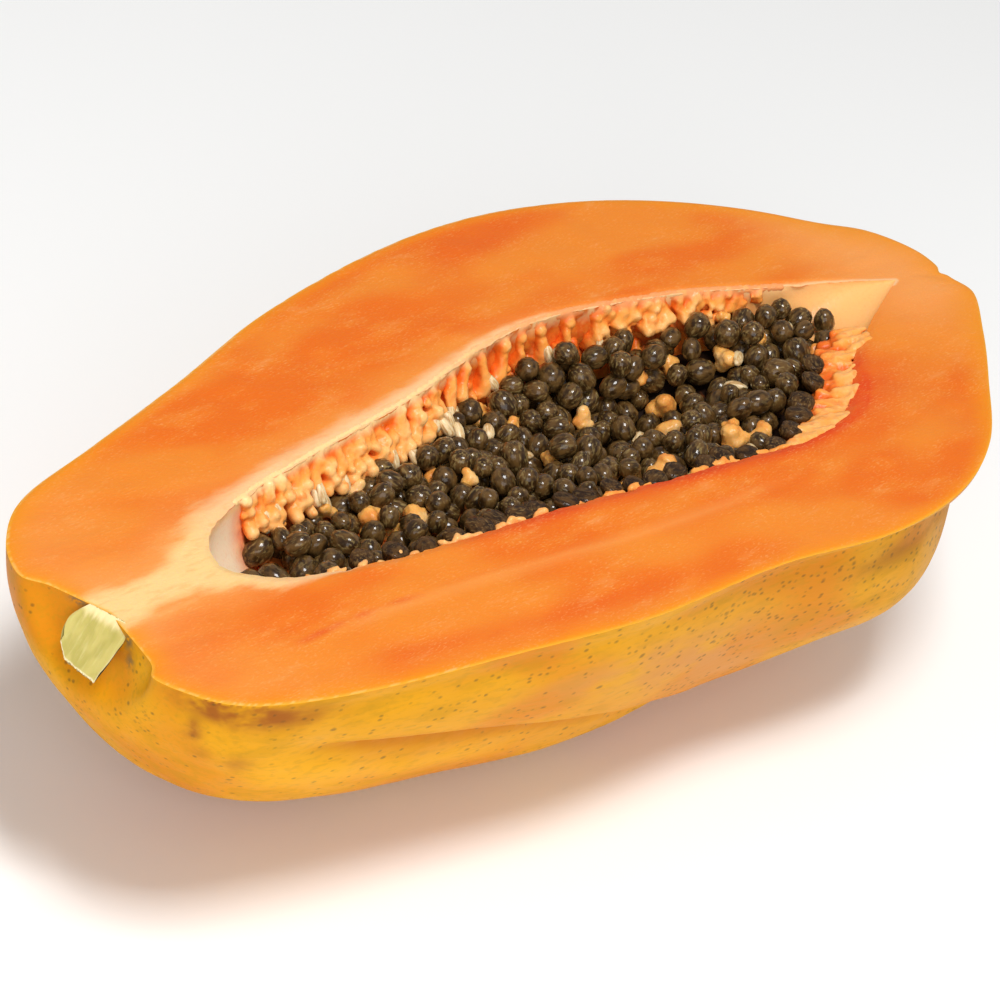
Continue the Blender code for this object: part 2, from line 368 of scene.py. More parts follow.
@dataclass(frozen=True)
class FruitForm:
    """The true form of the fruit and its seed cavity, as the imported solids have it."""

    skin_rows: tuple[tuple[float, ...], ...] = (
        (-0.1490, 0.0000, 0.0000, 0.0000),
        (-0.1535, 0.0140, 0.0170, 0.0135),
        (-0.1570, 0.0215, 0.0230, 0.0225),
        (-0.1500, 0.0330, 0.0360, 0.0350),
        (-0.1365, 0.0425, 0.0440, 0.0495),
        (-0.1100, 0.0495, 0.0515, 0.0625),
        (-0.0750, 0.0585, 0.0580, 0.0715),
        (-0.0350, 0.0700, 0.0650, 0.0760),
        (0.0100, 0.0770, 0.0670, 0.0785),
        (0.0450, 0.0770, 0.0725, 0.0745),
        (0.0750, 0.0705, 0.0700, 0.0755),
        (0.1000, 0.0595, 0.0595, 0.0700),
        (0.1220, 0.0440, 0.0410, 0.0520),
        (0.1380, 0.0270, 0.0260, 0.0340),
        (0.1500, 0.0125, 0.0120, 0.0170),
        (0.1500, 0.0000, 0.0000, 0.0000),
    )
    cavity_rows: tuple[tuple[float, ...], ...] = (
        (-0.1140, 0.0010, 0.0010, 0.0000),
        (-0.1115, 0.0070, -0.0035, 0.0065),
        (-0.1030, 0.0135, -0.0100, 0.0135),
        (-0.0850, 0.0185, -0.0155, 0.0215),
        (-0.0600, 0.0220, -0.0198, 0.0285),
        (-0.0250, 0.0265, -0.0235, 0.0345),
        (0.0050, 0.0330, -0.0280, 0.0385),
        (0.0300, 0.0350, -0.0315, 0.0400),
        (0.0540, 0.0310, -0.0345, 0.0390),
        (0.0770, 0.0250, -0.0305, 0.0310),
        (0.0950, 0.0178, -0.0170, 0.0175),
        (0.1150, 0.0100, -0.0068, 0.0058),
        (0.1340, 0.0016, 0.0016, 0.0000),
    )
    furrows: tuple[Furrow, ...] = (
        Furrow(18.8, 31.0, 1.3, -0.130, 0.040, 0.055, 3.5, 15.0, 0.100, 0.145),
        Furrow(-14.0, 24.5, 1.0, -0.020, 0.080, 0.080, 5.0, 14.0, 0.120, 0.152),
        Furrow(90.0, 36.0, 1.0, -0.125, 0.100, 0.035, 16.0, 16.0, 0.100, 0.145),
        Furrow(146.0, 26.0, 1.0, -0.125, 0.100, 0.035, 12.0, 12.0, 0.100, 0.145),
    )
    cheeks: tuple[Cheek, ...] = (
        Cheek(0.075, 0.082, 28.0, 0.035, 12.5),
        Cheek(0.050, -0.005, 48.5, 0.040, 18.0),
    )
    rim_band: float = 5.0
    shoulder_skew: float = 0.0015
    shoulder_lean: float = 0.0042
    shoulder_span: tuple[float, float] = (0.110, 0.155)
    shoulder_reach: float = 0.030
    floor_power: float = 0.80
    side_power: float = 0.92
    bed_span: tuple[float, float] = (-0.1010, 0.1060)
    bed_sink: float = 0.0068
    bed_slope: float = 0.135
    pit_depth: float = 0.0075
    pit_at: tuple[float, float] = (0.0360, 0.0060)
    pit_size: tuple[float, float] = (0.0330, 0.0120)
    rise: float = 0.0045
    rise_along: tuple[float, float] = (0.0550, 0.0800)
    rise_across: tuple[float, float] = (0.0000, 0.0140)
    tissue_mm: float = 5.0
    shelf_mm: tuple[float, float] = (0.6, 10.0)

    def lobed(self, x: Array, angle: Array) -> Array:
        """Give the radius factor of the lobed skin; it is 1 all along the cut rim."""
        inner = ease(0.0, self.rim_band, angle) * ease(0.0, self.rim_band, 180.0 - angle)
        furrows = sum(furrow.depth_at(x, angle) for furrow in self.furrows)
        cheeks = sum(cheek.height_at(x, angle) for cheek in self.cheeks)
        return 1.0 - furrows * inner + cheeks * ease(0.0, self.rim_band * 2.0, angle)

    def skin(self, share: Array, turn: Array) -> Array:
        """Place points of the skin.

        Args:
            share: how far along the skin's rows, from 0 at the stem to 1 at the blossom tip.
            turn: how far round the belly, from 0 at the far rim to pi at the near rim.

        Returns:
            One point in the fruit's frame for each pair.
        """
        rows = spline(self.skin_rows, share * (len(self.skin_rows) - 1))
        x, far, near, depth = (rows[..., column] for column in range(4))
        factor = self.lobed(x, 180.0 - np.degrees(turn))
        half_width = np.maximum(np.where(turn < math.pi / 2.0, far, near), 0.0)
        y = half_width * np.cos(turn) * factor
        z = -np.maximum(depth, 0.0) * np.sin(turn) * factor
        skew = self.shoulder_skew * np.clip(y / self.shoulder_reach, -1.0, 1.0)
        lean = self.shoulder_lean * np.minimum(-z / self.shoulder_reach, 2.0)
        x = x + ease(*self.shoulder_span, -x) * (lean - skew)
        return np.stack([x, y, z], axis=-1)

    def cavity(self, share: Array, turn: Array) -> Array:
        """Place points of the cavity's wall, with share and turn as for the skin."""
        rows = spline(self.cavity_rows, share * (len(self.cavity_rows) - 1))
        x, far, near, depth = (rows[..., column] for column in range(4))
        across = np.sign(np.cos(turn)) * np.abs(np.cos(turn)) ** self.side_power
        y = (far + near) / 2.0 + np.maximum((far - near) / 2.0, 0.0) * across
        z = -np.maximum(depth, 0.0) * np.maximum(np.sin(turn), 0.0) ** self.floor_power
        return np.stack([x, y, z], axis=-1)

    @cached_property
    def lips(self) -> Array:
        """Finely spaced rows of the cavity: place, far lip, near lip and depth."""
        return spline(self.cavity_rows, np.linspace(0.0, len(self.cavity_rows) - 1.0, 600))

    def cavity_at(self, x: Number) -> tuple[Number, Number, Number]:
        """Give the far lip, the near lip and the cavity's depth at places along the fruit."""
        return tuple(np.interp(x, self.lips[:, 0], self.lips[:, column]) for column in (1, 2, 3))

    def middle_at(self, x: Number) -> Number:
        """Give the line half way between the two lips."""
        far, near, _ = self.cavity_at(x)
        return (far + near) / 2.0

    def tissue_at(self, x: Number, z: Number) -> Number:
        """Give how far the soft tissue stands out of the far wall at a height in the cavity."""
        along = ease(-0.094, -0.080, x) * (1.0 - 0.30 * ease(-0.030, 0.010, x))
        along = along * (1.0 - 0.8 * ease(0.070, 0.100, x))
        return self.tissue_mm * MM * along * ease(0.001, 0.010, -z)

    def shelf_at(self, x: Number) -> Number:
        """Give the width of the torn shelf between the near lip and the seeds."""
        wide = ease(0.048, 0.080, x) * (1.0 - 0.5 * ease(0.095, 0.110, x))
        return (self.shelf_mm[0] + (self.shelf_mm[1] - self.shelf_mm[0]) * wide) * MM

    def wall_at(self, x: Number, z: Number) -> tuple[Number, Number]:
        """Give the far and near wall's place across the fruit at a height in the cavity."""
        far, near, depth = self.cavity_at(x)
        level = np.clip(-z / np.maximum(depth, 1e-5), 0.0, 1.0) ** (1.0 / self.floor_power)
        half = np.maximum((far - near) / 2.0, 0.0) * (1.0 - level**2) ** (self.side_power / 2.0)
        middle = (far + near) / 2.0
        return middle + half, middle - half

    def floor(self, x: Number, y: Number) -> Number:
        """Give the height of the cavity's floor."""
        far, near, depth = self.cavity_at(x)
        off = np.abs(2.0 * y - far - near) / np.maximum(far - near, 1e-6)
        return -depth * np.clip(1.0 - off ** (2.0 / self.side_power), 0.0, 1.0) ** (self.floor_power / 2.0)

    def sink(self, x: Number, y: Number) -> Number:
        """Give how far the seeds' top lies below the cut face."""
        pit = bell(x, self.pit_at[0], self.pit_size[0]) * bell(y, self.pit_at[1], self.pit_size[1])
        rise = self.rise * ease(*self.rise_along, x) * ease(*self.rise_across, y)
        return self.bed_sink + self.bed_slope * y + self.pit_depth * pit - rise

    def shift(self) -> Vector:
        """Give the move from the fruit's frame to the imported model's."""
        share, turn = np.meshgrid(np.linspace(0.0, 1.0, 200), np.linspace(0.0, math.pi, 90))
        points = self.skin(share, turn).reshape(-1, 3)
        low, high = (Vector(corner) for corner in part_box("papaya_half"))
        middle = (points[:, 1].max() + points[:, 1].min()) / 2.0
        return Vector((high.x - points[:, 0].max(), (low.y + high.y) / 2.0 - middle, high.z))


def set_down(piece: Piece, form: FruitForm, node: str) -> None:
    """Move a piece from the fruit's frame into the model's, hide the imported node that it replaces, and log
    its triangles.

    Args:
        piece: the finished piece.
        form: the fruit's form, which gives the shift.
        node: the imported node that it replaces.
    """
    piece.data.transform(Matrix.Translation(form.shift()))
    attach(piece, "root")
    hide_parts(node)
    faces = sum(len(polygon.vertices) - 2 for polygon in piece.data.polygons)
    LOG.info("%s: %d triangles", piece.name, faces)


def patch(name: str, columns: int, rows: int, place: Place) -> tuple[Piece, Array, Array]:
    """Add a grid and lay it over a surface.

    Args:
        name: the patch's name.
        columns: faces along the fruit.
        rows: faces across it.
        place: gives a point for each pair of shares of the two directions.

    Returns:
        The patch, and each vertex's shares of the two directions.
    """
    deselect()
    bpy.ops.mesh.primitive_grid_add(x_subdivisions=columns, y_subdivisions=rows, size=1.0)
    made = bpy.context.object
    made.name = name
    corners = points_of(made)
    along = np.clip(corners[:, 0] + 0.5, 0.0, 1.0)
    across = np.clip(corners[:, 1] + 0.5, 0.0, 1.0)
    move_points(made, place(along, across))
    return made, along, across


class Zone(Enum):
    """Parts of the fruit's surface, each with its own finish."""

    SKIN = 0
    FACE = 1
    WALL = 2


@dataclass(frozen=True)
class Blotch:
    """A soft patch, placed on the skin by row and angle below the near rim, on the cut face by x and y."""

    first: float
    second: float
    first_reach: float
    second_reach: float
    strength: float

    def on(self, first: Array, second: Array) -> Array:
        """Give the patch's strength at places."""
        lengthwise = bell(first, self.first, self.first_reach)
        return self.strength * lengthwise * bell(second, self.second, self.second_reach)


def covered(blotches: Sequence[Blotch], first: Array, second: Array) -> Array:
    """Add up patches at places, up to 1."""
    return np.clip(sum(blotch.on(first, second) for blotch in blotches), 0.0, 1.0)


@dataclass(frozen=True)
class Rind:
    """Ripe papaya rind: thin, waxy and smooth, yellow with orange flushes, tan patches with a painted sheen,
    and olive freckles; painted shade lies in the crease and by the stalk.
    """

    yellow: str = "#e29e04"
    bright: str = "#eeaa04"
    orange: str = "#d9860c"
    olive: str = "#b8880e"
    bloom: str = "#d9944a"
    bruise: str = "#a05a14"
    freckle: str = "#5c471c"
    green: str = "#a39c34"
    shade: str = "#c27418"
    cork: str = "#86683f"
    freckle_mm: float = 1.7
    freckle_ragged: float = 0.35
    freckle_strength: float = 0.60
    roughness: float = 0.42
    dullest: float = 0.56

    def material(self) -> Material:
        """Write the rind's material: broad flushes, olive mottling, and the marks that the mesh places,
        painted light and shade among them.
        """
        recipe = Recipe("papaya_rind_waxy")
        sun, bloom, green = recipe.traits("sun", "bloom", "green")
        bruise, crease, scar = recipe.traits("bruise", "crease", "scar")
        broad = recipe.grain(26.0, (0.6, 1.0, 1.0), 1.0)
        middle = recipe.grain(8.0, (0.45, 1.2, 1.2), 3.0)
        fine = recipe.grain(1.5, (0.35, 1.2, 1.2), 2.0)
        flushed = recipe.step("MapRange", (broad, 0.38, 0.62), **SOFT)
        mottled = recipe.step("MapRange", (middle, 0.50, 0.68, 0.0, 0.35), **SOFT)
        streaked = recipe.step("MapRange", (fine, 0.48, 0.70, 0.0, 0.30), **SOFT)
        tan_and_sheen_share = recipe.step("MapRange", (middle, 0.30, 0.60, 0.0, bloom), **SOFT)
        bruised_and_shaded = recipe.step("MapRange", (middle, 0.26, 0.56, 0.0, bruise), **SOFT)
        corky = recipe.step("MapRange", (fine, 0.30, 0.55, 0.0, scar), **SOFT)
        dull = recipe.step("MapRange", (middle, 0.3, 0.7, self.roughness, self.dullest), **SOFT)
        colour = recipe.lay(
            self.yellow,
            (flushed, self.orange),
            (mottled, self.olive),
            # Brighter yellow patches: the skin's own, and by the stem painted light over the shade there.
            (sun, self.bright),
            (streaked, self.olive),
            # Tan patches that carry a painted sheen, the sky's reflection above the crease.
            (tan_and_sheen_share, self.bloom),
            (green, self.green),
            # Bruises, and by the stalk a painted shade in the dimple.
            (bruised_and_shaded, self.bruise),
            # Painted shade along the crease, over the skin's own deeper colour there.
            (crease, self.shade),
            (self.dots(recipe, fine), self.freckle),
            (corky, self.cork),
        )
        return recipe.finish(
            {
                "Base Color": colour,
                "Roughness": dull,
                "Normal": recipe.step("Bump", {"Height": fine, "Distance": 0.12 * MM, "Strength": 0.7}),
                "IOR": 1.45,
                "Specular IOR Level": 0.12,
            }
        )

    def dots(self, recipe: Recipe, fine: Socket) -> Socket:
        """Scatter small corky freckles, closest together where the mesh says so.

        Args:
            recipe: the rind's recipe.
            fine: noise that makes the freckles' edges ragged.

        Returns:
            How strongly each place is freckled.
        """
        place = recipe.step("Mapping", {"Vector": recipe.here, "Scale": (0.7, 1.0, 1.0)})
        (wanted,) = recipe.traits("freckles")
        level = self.freckle_ragged / 2.0
        total: Value = 0.0
        for size_mm, low, high in ((self.freckle_mm, 0.10, 0.36), (self.freckle_mm * 2.0, 0.06, 0.22)):
            near = recipe.step("TexVoronoi", {"Vector": place, "Scale": per(size_mm)}, "Distance")
            chance = recipe.step("SeparateColor", (near.node.outputs["Color"],))
            ragged = recipe.step("Math", (fine, self.freckle_ragged, near), **TIMES_PLUS)
            kept = recipe.step("Math", (wanted, chance), operation="GREATER_THAN")
            spot = recipe.step("MapRange", (ragged, low + level, high + level, kept, 0.0))
            total = recipe.step("Math", (total, spot), operation="MAXIMUM")
        return recipe.step("Math", (total, self.freckle_strength), **TIMES)


@dataclass(frozen=True)
class Flesh:
    """Ripe papaya flesh, knife-cut: moist, fine-grained and translucent, redder by the seeds."""

    orange: str = "#e36c14"
    light: str = "#e78426"
    red: str = "#da450c"
    fleck: str = "#f0a45e"
    peach: str = "#ee984c"
    cream: str = "#f1c986"
    warm_cream: str = "#f1bc86"
    band: str = "#ea8e0e"
    peel: str = "#eba42c"
    roughness: float = 0.36
    dullest: float = 0.52

    def material(self) -> Material:
        """Write the cut flesh's material: soft clouds, fine fibres, cream core and band inside the rim."""
        recipe = Recipe("papaya_flesh_cut")
        red, pale, rim, core, warm, peel = recipe.traits("red", "pale", "rim", "core", "warm", "peel")
        broad = recipe.grain(22.0, (0.5, 1.1, 1.0), 1.0)
        clouds = recipe.grain(6.0, (0.4, 1.0, 1.0), 3.0)
        streaks = recipe.grain(1.6, (0.25, 1.0, 1.0), 2.0)
        fibres = recipe.grain(0.42, (0.36, 1.0, 1.0), 1.5)
        lit = recipe.step("MapRange", (broad, 0.38, 0.64), **SOFT)
        cloudy = recipe.step("MapRange", (clouds, 0.44, 0.74, 0.0, 0.60), **SOFT)
        patchy = recipe.step("MapRange", (clouds, 0.3, 0.6, 0.6, 1.0), **SOFT)
        reddened = recipe.step("Math", (red, patchy), **TIMES)
        inward = recipe.step("Math", (clouds, 0.4, rim), **TIMES_PLUS)
        outside = recipe.step("MapRange", (inward, 0.2, 1.2, 1.0, 0.0))
        golden = recipe.step("Math", (outside, 1.6), operation="POWER")
        banded = recipe.step("Math", (golden, 0.9), **TIMES)
        strength = recipe.step("MapRange", (clouds, 0.26, 0.66, 0.0, 0.50), **SOFT)
        flecked = recipe.step("MapRange", (fibres, 0.52, 0.76, 0.0, strength), **SOFT)
        ragged = recipe.step("Math", (clouds, streaks), operation="ADD")
        frayed = recipe.step("Math", (ragged, 0.7, core), **TIMES_PLUS)
        cored = recipe.step("MapRange", (frayed, 0.75, 1.65), **SOFT)
        streaky = recipe.step("MapRange", (streaks, 0.50, 0.72, 0.0, 0.30), **SOFT)
        dull = recipe.step("MapRange", (clouds, 0.3, 0.7, self.roughness, self.dullest), **SOFT)
        colour = recipe.lay(
            self.orange,
            (lit, self.light),
            (cloudy, self.light),
            (reddened, self.red),
            (pale, self.peach),
            (banded, self.band),
            (flecked, self.fleck),
            (cored, recipe.lay(self.cream, (warm, self.warm_cream), (streaky, self.peach))),
            (peel, self.peel),
        )
        return recipe.finish(
            {
                "Base Color": colour,
                "Roughness": dull,
                "Normal": recipe.step("Bump", {"Height": fibres, "Distance": 0.18 * MM, "Strength": 0.6}),
                "IOR": 1.38,
                "Specular IOR Level": 0.35,
                **glow(0.15, (1.0, 0.45, 0.15), 2.0),
            }
        )


@dataclass(frozen=True)
class CavityWall:
    """The torn inner wall: wet, orange-red in its pockets, and smooth peach at both ends."""

    pocket: str = "#f0842f"
    deep: str = "#e05a18"
    torn: str = "#f8a458"
    smooth_peach: str = "#ffe0bc"
    tip_peach: str = "#fcba72"
    brink: str = "#fccb90"
    roughness: float = 0.32

    def material(self) -> Material:
        """Write the cavity wall's material: red pockets between torn patches, and smooth pale ends."""
        recipe = Recipe("papaya_cavity_wall")
        hollow, tip, brink = recipe.traits("hollow", "tip", "brink")
        patches = recipe.grain(4.5, detail=2.0)
        fine = recipe.grain(0.8, detail=2.0)
        colour = recipe.lay(
            self.pocket,
            (recipe.step("MapRange", (patches, 0.35, 0.65), **SOFT), self.deep),
            (recipe.step("MapRange", (patches, 0.55, 0.75, 0.0, 0.8), **SOFT), self.torn),
            (hollow, self.smooth_peach),
            (tip, self.tip_peach),
            (recipe.step("MapRange", (fine, 0.5, 0.8, 0.0, 0.3), **SOFT), self.torn),
            (brink, self.brink),
        )
        return recipe.finish(
            {
                "Base Color": colour,
                "Roughness": self.roughness,
                "Normal": recipe.step("Bump", {"Height": fine, "Distance": 0.15 * MM, "Strength": 0.5}),
                "IOR": 1.38,
                "Specular IOR Level": 0.35,
                **glow(0.2, (1.0, 0.5, 0.2), 2.0),
            }
        )


@dataclass
class Surface:
    """The body's points, the zone that each belongs to, and how far it lies from the rim and the lip."""

    points: Array
    skin: Array
    face: Array
    wall: Array
    row: Array
    angle: Array
    rim: Array
    lip: Array


@dataclass
class FruitBody:
    """The rind and flesh, with the open cavity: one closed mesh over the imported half."""

    form: FruitForm
    columns: int = 300
    skin_rows: int = 130
    face_rows: int = 30
    wall_rows: int = 84
    edge_steps: int = 900
    lobe_mm: float = 2.2
    notch_mm: float = 1.4
    sweep_mm: float = 4.5
    crease_lip_mm: float = 0.7
    crease_depth_mm: float = 1.6
    wave_mm: float = 0.22
    ripple_mm: float = 0.08
    rim_drop_mm: float = 0.35
    rim_reach_mm: float = 0.9
    lip_drop_mm: float = 0.7
    lip_reach_mm: float = 2.0
    lip_ragged_mm: float = 0.7
    wall_lump_mm: float = 1.1
    dent_mm: float = 0.35
    grain_mm: float = 0.06
    rim_fade_mm: float = 12.0
    skin_fade_mm: float = 22.0
    scars: tuple[tuple[Triple, Triple], ...] = (
        ((-151.3, 8.0, -0.6), (1.8, 2.4, 1.3)),
        ((-149.6, -8.2, -1.6), (2.5, 1.6, 2.2)),
        ((-152.5, -10.5, -6.0), (2.5, 1.4, 1.6)),
    )
    bruises_and_dimple_shade: tuple[Blotch, ...] = (
        Blotch(2.95, 4.0, 0.60, 7.0, 1.30),
        Blotch(3.60, 5.0, 0.60, 5.0, 1.20),
        Blotch(4.30, 6.0, 0.40, 4.0, 0.45),
        Blotch(9.60, 12.0, 0.80, 2.5, 0.55),
        Blotch(2.80, 23.0, 0.12, 5.0, 1.00),
        Blotch(2.72, 17.0, 0.08, 4.0, 0.60),
        Blotch(3.72, 30.0, 0.25, 5.0, 0.50),
        Blotch(3.10, 33.0, 0.20, 5.0, 0.35),
        # This one is painted shade in the dimple by the stalk.
        Blotch(0.60, 42.0, 0.10, 22.0, 0.75),
    )
    spots: tuple[Blotch, ...] = (
        Blotch(1.98, 28.0, 0.20, 7.0, 1.0),
        Blotch(1.25, 38.0, 0.20, 6.0, 1.0),
        Blotch(2.32, 41.0, 0.18, 7.0, 0.8),
        Blotch(1.70, 51.0, 0.20, 6.0, 0.8),
        Blotch(3.90, 41.0, 0.20, 5.0, 0.5),
        Blotch(8.60, 14.0, 1.60, 9.0, 0.35),
        Blotch(6.00, 8.0, 2.20, 5.0, 0.25),
    )
    # Tan patches with a painted sheen: the sky's reflection above the crease, painted into the colour.
    tan_and_sheen_patches: tuple[Blotch, ...] = (
        Blotch(7.70, 22.0, 0.60, 7.0, 1.0),
        Blotch(7.00, 14.0, 0.80, 5.0, 0.7),
        Blotch(8.10, 30.0, 0.40, 4.0, 0.8),
    )
    # Brighter yellow patches of the skin; those by the stem are painted light.
    yellow_and_painted_light_patches: tuple[Blotch, ...] = (
        Blotch(4.80, 30.0, 1.00, 9.0, 0.9),
        Blotch(6.30, 36.0, 1.00, 6.0, 0.8),
        # These two by the stem are painted light over the shade that falls there.
        Blotch(0.90, 20.0, 0.80, 22.0, 0.9),
        Blotch(2.00, 70.0, 0.90, 25.0, 0.5),
    )
    blushes: tuple[Blotch, ...] = (
        Blotch(0.083, -0.028, 0.020, 0.009, 0.8),
        Blotch(0.042, 0.068, 0.020, 0.006, 0.45),
        Blotch(-0.112, -0.0295, 0.006, 0.0010, 0.8),
    )
    finishes: list[Material] = field(default_factory=list)

    def build(self) -> Piece:
        """Model the body and dress it.

        Returns:
            The finished piece, in the fruit's frame.
        """
        self.finishes = [finish.material() for finish in (Rind(), Flesh(), CavityWall())]
        patches = [
            self.skin_patch(),
            self.face_patch("far_face", 0.0),
            self.face_patch("near_face", math.pi),
            self.wall_patch(),
        ]
        body = join("papaya_flesh_and_rind", patches)
        surface = self.survey(body)
        self.store_skin(body, surface)
        self.store_wall(body, surface)
        self.store_zones(body, surface)
        self.store_reds(body, surface)
        self.shape(body, surface)
        smooth(body, 50.0)
        return body

    def mark(self, piece: Piece, zone: Zone, row: Array, angle: Array) -> Piece:
        """Note on a patch which zone it is, and where its points lie on the form."""
        set_trait(piece, "zone", np.full(len(row), float(zone.value)))
        set_trait(piece, "row", row)
        set_trait(piece, "angle", angle)
        for finish in self.finishes:
            piece.data.materials.append(finish)
        piece.data.polygons.foreach_set("material_index", [zone.value] * len(piece.data.polygons))
        return piece

    def skin_patch(self) -> Piece:
        """Lay a grid over the rind."""
        made, along, across = patch(
            "skin", self.columns, self.skin_rows, lambda share, turn: self.form.skin(share, turn * math.pi)
        )
        rows = len(self.form.skin_rows) - 1
        return self.mark(made, Zone.SKIN, along * rows, 180.0 - across * 180.0)

    def face_patch(self, name: str, turn: float) -> Piece:
        """Lay a grid over one side of the cut face, closest together at the rim and the lip."""

        def place(share: Array, across: Array) -> Array:
            """Give the points of the grid."""
            rim = self.form.skin(share, np.full_like(share, turn))
            lip = self.form.cavity(share, np.full_like(share, turn))
            eased = (across + (1.0 - np.cos(across * math.pi)) / 2.0) / 2.0
            return rim + (lip - rim) * eased[:, None]

        made, along, _ = patch(name, self.columns, self.face_rows, place)
        return self.mark(made, Zone.FACE, along, np.zeros_like(along))

    def wall_patch(self) -> Piece:
        """Lay a grid over the cavity's wall."""
        made, along, across = patch(
            "wall", self.columns, self.wall_rows, lambda share, turn: self.form.cavity(share, turn * math.pi)
        )
        return self.mark(made, Zone.WALL, along, 180.0 - across * 180.0)

    def edge_distance(self, points: Array, outline: Place) -> Array:
        """Measure how far points of the cut face lie from the rim or the lip.

        Args:
            points: places on the cut face.
            outline: the form's skin or cavity, whose edges are followed.

        Returns:
            The distance to the nearest point of the edge.
        """
        share = np.concatenate([np.linspace(0.0, 1.0, self.edge_steps)] * 2)
        turn = np.repeat([0.0, math.pi], self.edge_steps)
        edge = outline(share, turn)[:, :2]
        batches = np.array_split(points[:, :2], 1 + len(points) // 4000)
        gaps = [np.hypot(*(some[:, None] - edge[None]).transpose(2, 0, 1)).min(axis=1) for some in batches]
        return np.concatenate(gaps)

    def survey(self, body: Piece) -> Surface:
        """Work out which zone each point of the body belongs to, and how far it lies from the edges."""
        points = points_of(body)
        zone, row, angle = (np.empty(len(points)) for _ in range(3))
        for name, values in (("zone", zone), ("row", row), ("angle", angle)):
            body.data.attributes[name].data.foreach_get("value", values)
        skin, face, wall = (zone == kind.value for kind in Zone)
        rim = np.where(wall, 1.0, 0.0)
        lip = np.where(wall, -points[:, 2], 0.0)
        rim[face] = self.edge_distance(points[face], self.form.skin)
        lip[face] = self.edge_distance(points[face], self.form.cavity)
        return Surface(points, skin, face, wall, row, angle, rim, lip)

    def shape(self, body: Piece, surface: Surface) -> None:
        """Give the body its small forms."""
        x, y, z = surface.points.T
        z = z + self.face_height(surface)
        y = y + self.lip_wander(surface)
        y = y + np.sign(y) * self.wall_lumps(surface)
        swell = self.skin_height(surface, z) / np.maximum(np.hypot(y, z), 1e-6)
        y = y * (1.0 + swell)
        z = z * (1.0 + swell)
        x, y = self.tip_shape(surface, x, y, z)
        z = np.maximum(z, -self.form.shift().z)
        move_points(body, np.stack([x, y, z], axis=-1))

    def face_height(self, surface: Surface) -> Array:
        """Give the cut face's shallow waves, and how far the drying rim and the rolled lip drop."""
        x, _, z = surface.points.T
        rim, lip = surface.rim, surface.lip
        waves = fractal(surface.points, 16.0) * self.wave_mm
        waves = waves + fractal(surface.points, (9.0, 3.5, 3.5)) * self.ripple_mm
        waves = waves * ease(0.0, 4.0 * MM, rim) * ease(0.0, 3.0 * MM, lip)
        on_face = 1.0 - ease(0.0, self.rim_reach_mm * MM, rim)
        dropped = np.where(surface.skin, 1.0 - ease(0.0, 3.0 * MM, -z), on_face) * self.rim_drop_mm
        rolled = (1.0 - ease(0.0, self.lip_reach_mm * MM, lip)) * self.lip_drop_mm
        rolled = rolled * (1.0 - ease(0.10, 0.13, x))
        height = np.where(surface.face, waves, 0.0)
        height = height - np.where(surface.skin | surface.face, dropped, 0.0)
        return (height - np.where(surface.face | surface.wall, rolled, 0.0)) * MM

    def lip_wander(self, surface: Surface) -> Array:
        """Give how far the knife's ragged edge along the lip wanders across the fruit."""
        x = surface.points[:, 0]
        ragged = fractal(surface.points * np.array([1.0, 0.0, 0.0]), 7.0, 3) * self.lip_ragged_mm * MM
        rolled = 1.0 - ease(0.0, self.lip_reach_mm * MM, surface.lip)
        ragged = ragged * rolled * (1.0 - ease(0.11, 0.13, np.abs(x)))
        return np.where(surface.face | surface.wall, ragged, 0.0)

    def wall_lumps(self, surface: Surface) -> Array:
        """Give the cavity wall's lumps, which leave both of its ends smooth."""
        x = surface.points[:, 0]
        lumps = fractal(surface.points, 4.5, 3) * ease(1.0 * MM, 5.0 * MM, surface.lip)
        lumps = lumps * between(x, (-0.096, -0.086), (0.085, 0.105))
        return np.where(surface.wall, lumps * self.wall_lump_mm * MM, 0.0)

    def skin_height(self, surface: Surface, z: Array) -> Array:
        """Give how far the rind's dents and its crease stand out of the form."""
        dents = fractal(surface.points, (26.0, 18.0, 18.0)) * self.dent_mm
        dents = dents + fractal(surface.points, (7.0, 5.0, 5.0)) * self.grain_mm
        dents = dents * ease(0.0, 6.0 * MM, -z)
        return (dents + self.crease_height(surface.points[:, 0], surface.angle)) * MM * surface.skin

    def tip_shape(self, surface: Surface, x: Array, y: Array, z: Array) -> tuple[Array, Array]:
        """Swell the far lobe at the blossom tip, and press the notch between the lobes.

        Args:
            surface: the body's survey.
            x: places along the fruit.
            y: places across it.
            z: heights.

        Returns:
            The moved places along and across the fruit.
        """
        on_skin = 1.0 - ease(0.0, self.skin_fade_mm * MM, -z)
        on_face = 1.0 - ease(0.0, self.rim_fade_mm * MM, surface.rim)
        near_rim = np.where(surface.skin, on_skin, on_face) * (surface.skin | surface.face)
        lobe = bell(x, 0.1435, 0.0070) * ease(0.0030, 0.0100, y) * self.lobe_mm * near_rim
        notch = bell(y, 0.0030, 0.0013) * ease(0.1440, 0.1490, x) * self.notch_mm * near_rim
        swept = bell(y, 0.0030, 0.0120) * ease(0.1300, 0.1470, x) * self.sweep_mm * near_rim
        return x + (0.6 * lobe - notch) * MM, y + (0.8 * lobe - swept) * MM

    def crease_offset(self, x: Array, angle: Array) -> Array:
        """Give how many degrees below the near side's upper crease a point lies."""
        crease = self.form.furrows[0]
        share = np.clip((x - crease.path_from) / (crease.path_to - crease.path_from), 0.0, crease.path_end)
        return angle - crease.start - 1.0 - crease.swing * share**crease.path_power

    def crease_height(self, x: Array, angle: Array) -> Array:
        """Give the fold over the crease, in millimetres: a lip above it and a sharp groove under the lip."""
        offset = self.crease_offset(x, angle)
        lip = bell(offset, -2.6, 2.6) * self.crease_lip_mm
        groove = (bell(offset, 1.0, 1.5) + bell(offset, 4.5, 4.0) * 0.35) * self.crease_depth_mm
        return (lip - groove) * between(x, (-0.128, -0.100), (-0.030, 0.010))

